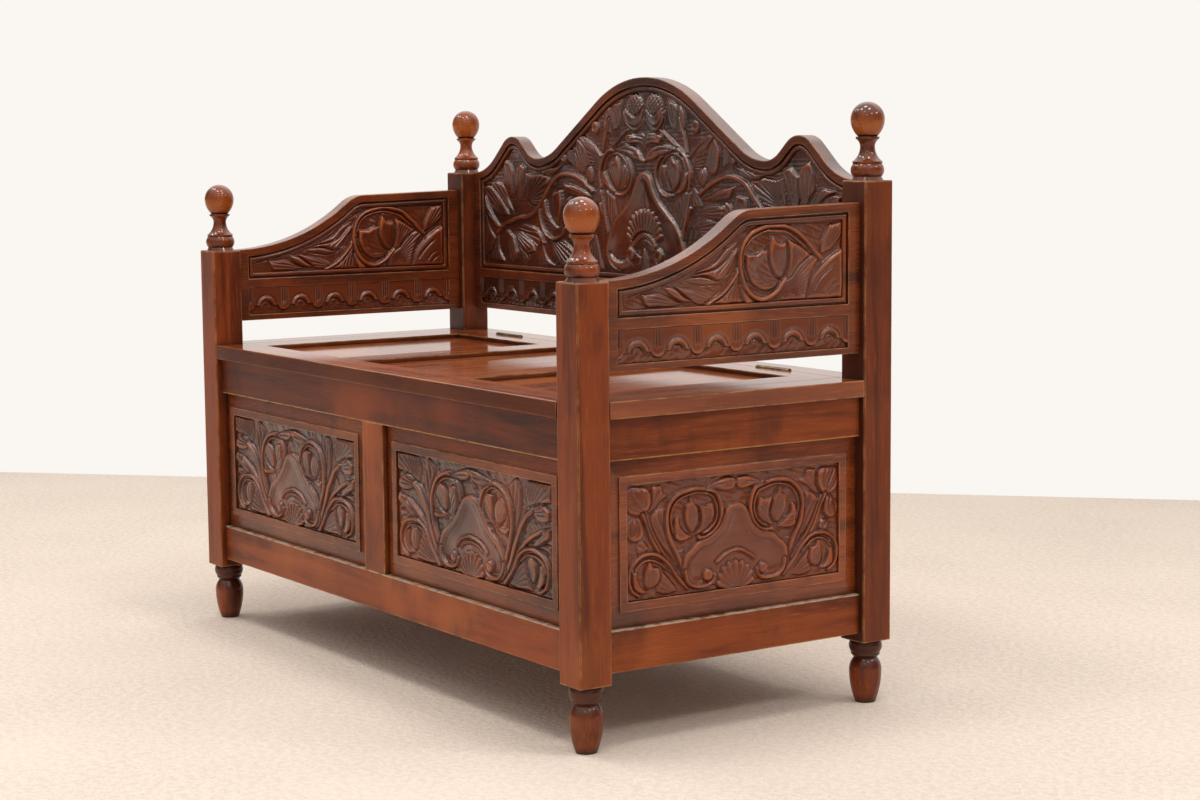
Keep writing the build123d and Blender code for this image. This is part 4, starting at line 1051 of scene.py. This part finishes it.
def carpet():
    """Pale carpet with a short pile, lighter in broad patches."""
    nodes = Nodes(bpy.data.materials.new("carpet"))
    tufts = nodes.noise(260.0, 3.0, 0.7)
    clumps = nodes.noise(95.0, 4.0, 0.7)
    patches = nodes.noise(2.2, 3.0, 0.5)
    colour = nodes.mix(nodes.span(tufts, 0.3, 0.7), shade(0.83), FLOOR_COLOUR)
    colour = nodes.mix(nodes.span(clumps, 0.40, 0.58, 0.9, 0.0), colour, shade(0.80))
    colour = nodes.mix(nodes.span(patches, 0.3, 0.7, 0.0, 0.25), colour, shade(1.06))
    raised = nodes.add("ShaderNodeBump", {"Height": clumps, "Strength": 0.7, "Distance": 0.006}).outputs[0]
    nodes.fill(nodes.shader, {
        "Base Color": colour,
        "Roughness": 1.0,
        "Specular IOR Level": 0.0,
        "Normal": raised,
    })
    return nodes.owner


def paper():
    """Off-white backdrop that glows as white paper does in a studio."""
    nodes = Nodes(bpy.data.materials.new("backdrop"))
    nodes.tree.nodes.remove(nodes.shader)
    inputs = {"Color": PAPER_COLOUR, "Strength": seen_strength(nodes, *PAPER_STRENGTH)}
    glow = nodes.add("ShaderNodeEmission", inputs).outputs[0]
    nodes.set(nodes.tree.nodes["Material Output"].inputs["Surface"], glow)
    return nodes.owner


def plain(name, corners, material):
    """A flat sheet of the stage."""
    mesh = bpy.data.meshes.new(name)
    mesh.from_pydata(corners, [], [(0, 1, 2, 3)])
    sheet = bpy.data.objects.new(name, mesh)
    bpy.context.scene.collection.objects.link(sheet)
    mesh.materials.append(material)


def make_room():
    """A carpet that ends at a backdrop, which lies flat behind the bench and hides no view of it."""
    left, right = Vector(CARPET_LEFT), Vector(CARPET_RIGHT)
    reach = (right - left).normalized() * FAR
    away = Vector((-reach.y, reach.x, 0))
    a, b = left - reach, right + reach
    plain("floor", [a, b, b - 2 * away, a - 2 * away], carpet())
    plain("backdrop", [a, b, b + away, a + away], paper())


def make_world():
    """The room's own light, which is stronger from some sides than from others."""
    world = bpy.data.worlds.new("room")
    bpy.context.scene.world = world
    nodes = Nodes(world)
    where = nodes.add("ShaderNodeTexCoord").outputs["Generated"]
    total = seen_strength(nodes, *ROOM_STRENGTH)
    for direction, low, high, gain in ROOM_SHARES:
        towards = nodes.vector("DOT_PRODUCT", where, direction).outputs["Value"]
        total = nodes.math("MULTIPLY", total, nodes.span(towards, low, high, 1.0, 1.0 + gain))
    nodes.fill(nodes.tree.nodes["Background"], {"Color": PAPER_COLOUR, "Strength": total})


def lamp(name, place, target, size, power, mirrored=True):
    """A round lamp that shines at a target."""
    data = bpy.data.lights.new(name, "AREA")
    data.shape = "DISK"
    data.size = size
    data.energy = power
    data.color = LAMP_COLOUR
    thing = bpy.data.objects.new(name, data)
    thing.location = place
    thing.rotation_euler = (Vector(target) - Vector(place)).to_track_quat("-Z", "Y").to_euler()
    thing.visible_glossy = mirrored
    bpy.context.scene.collection.objects.link(thing)


bpy.context.scene.view_settings.view_transform = "Standard"
make_camera()
make_room()
make_world()
for index, (across, depth, power) in enumerate(CEILING_LAMPS):
    lamp(f"ceiling_{index}", (across, depth, CEILING), (across, depth, 0), CEILING_SIZE, power)
for name, (place, power) in FILLS.items():
    lamp(name, place, FILL_TARGET, FILL_SIZE, power, False)
dress_nodes()

carved_x = carved_wood("carved_field_x", "x", (DARK, (0.08, 0.015, 0.004), MIDDLE), "y", 0.45, 0.7)
back_tones = ((0.02, 0.005, 0.003), (0.06, 0.011, 0.003), (0.15, 0.028, 0.006))
carved_back = carved_wood("carved_field_back", "x", back_tones, "y", 0.85, 0.4)
carved_y = carved_wood("carved_field_y", "y", (DEEP, (0.17, 0.032, 0.006), MIDDLE), "x", 0.3, 0.7)
arm_tones = (DEEP, (0.12, 0.022, 0.004), (0.22, 0.048, 0.009))
carved_arm = carved_wood("carved_field_arm", "y", arm_tones, "x", 0.5, 0.8)
band_tones = (DEEP, (0.15, 0.029, 0.005), (0.27, 0.062, 0.011))
carved_band = carved_wood("carved_band", "y", band_tones, "x", 0.4, 0.9, full=0.45, glazed_and_shaded=0.9)
dark_tones = ((0.016, 0.004, 0.003), (0.045, 0.009, 0.003), (0.11, 0.021, 0.005))
dark_band = carved_wood("dark_band", "x", dark_tones, "y", 0.45, 0.3, full=0.45, glazed_and_shaded=0.85)

carve_panel("front_left_panel", draw_front_panel, (1, 0, 0), (0, -1, 0), carved_x, 11)
carve_panel("front_right_panel", draw_front_panel, (1, 0, 0), (0, -1, 0), carved_x, 12)
carve_panel("right_panel", draw_end_panel, (0, 1, 0), (1, 0, 0), carved_y, 13)
carve_panel("left_panel", draw_end_panel, (0, -1, 0), (-1, 0, 0), carved_y, 14)
carve_arm("right_arm", "outer", 1, carved_arm, carved_band, 21)
carve_arm("right_arm", "inner", -1, carved_arm, carved_band, 22)
carve_arm("left_arm", "outer", -1, carved_arm, carved_band, 23)
carve_arm("left_arm", "inner", 1, carved_arm, carved_band, 24)
carve_back(carved_back, dark_band, 31)
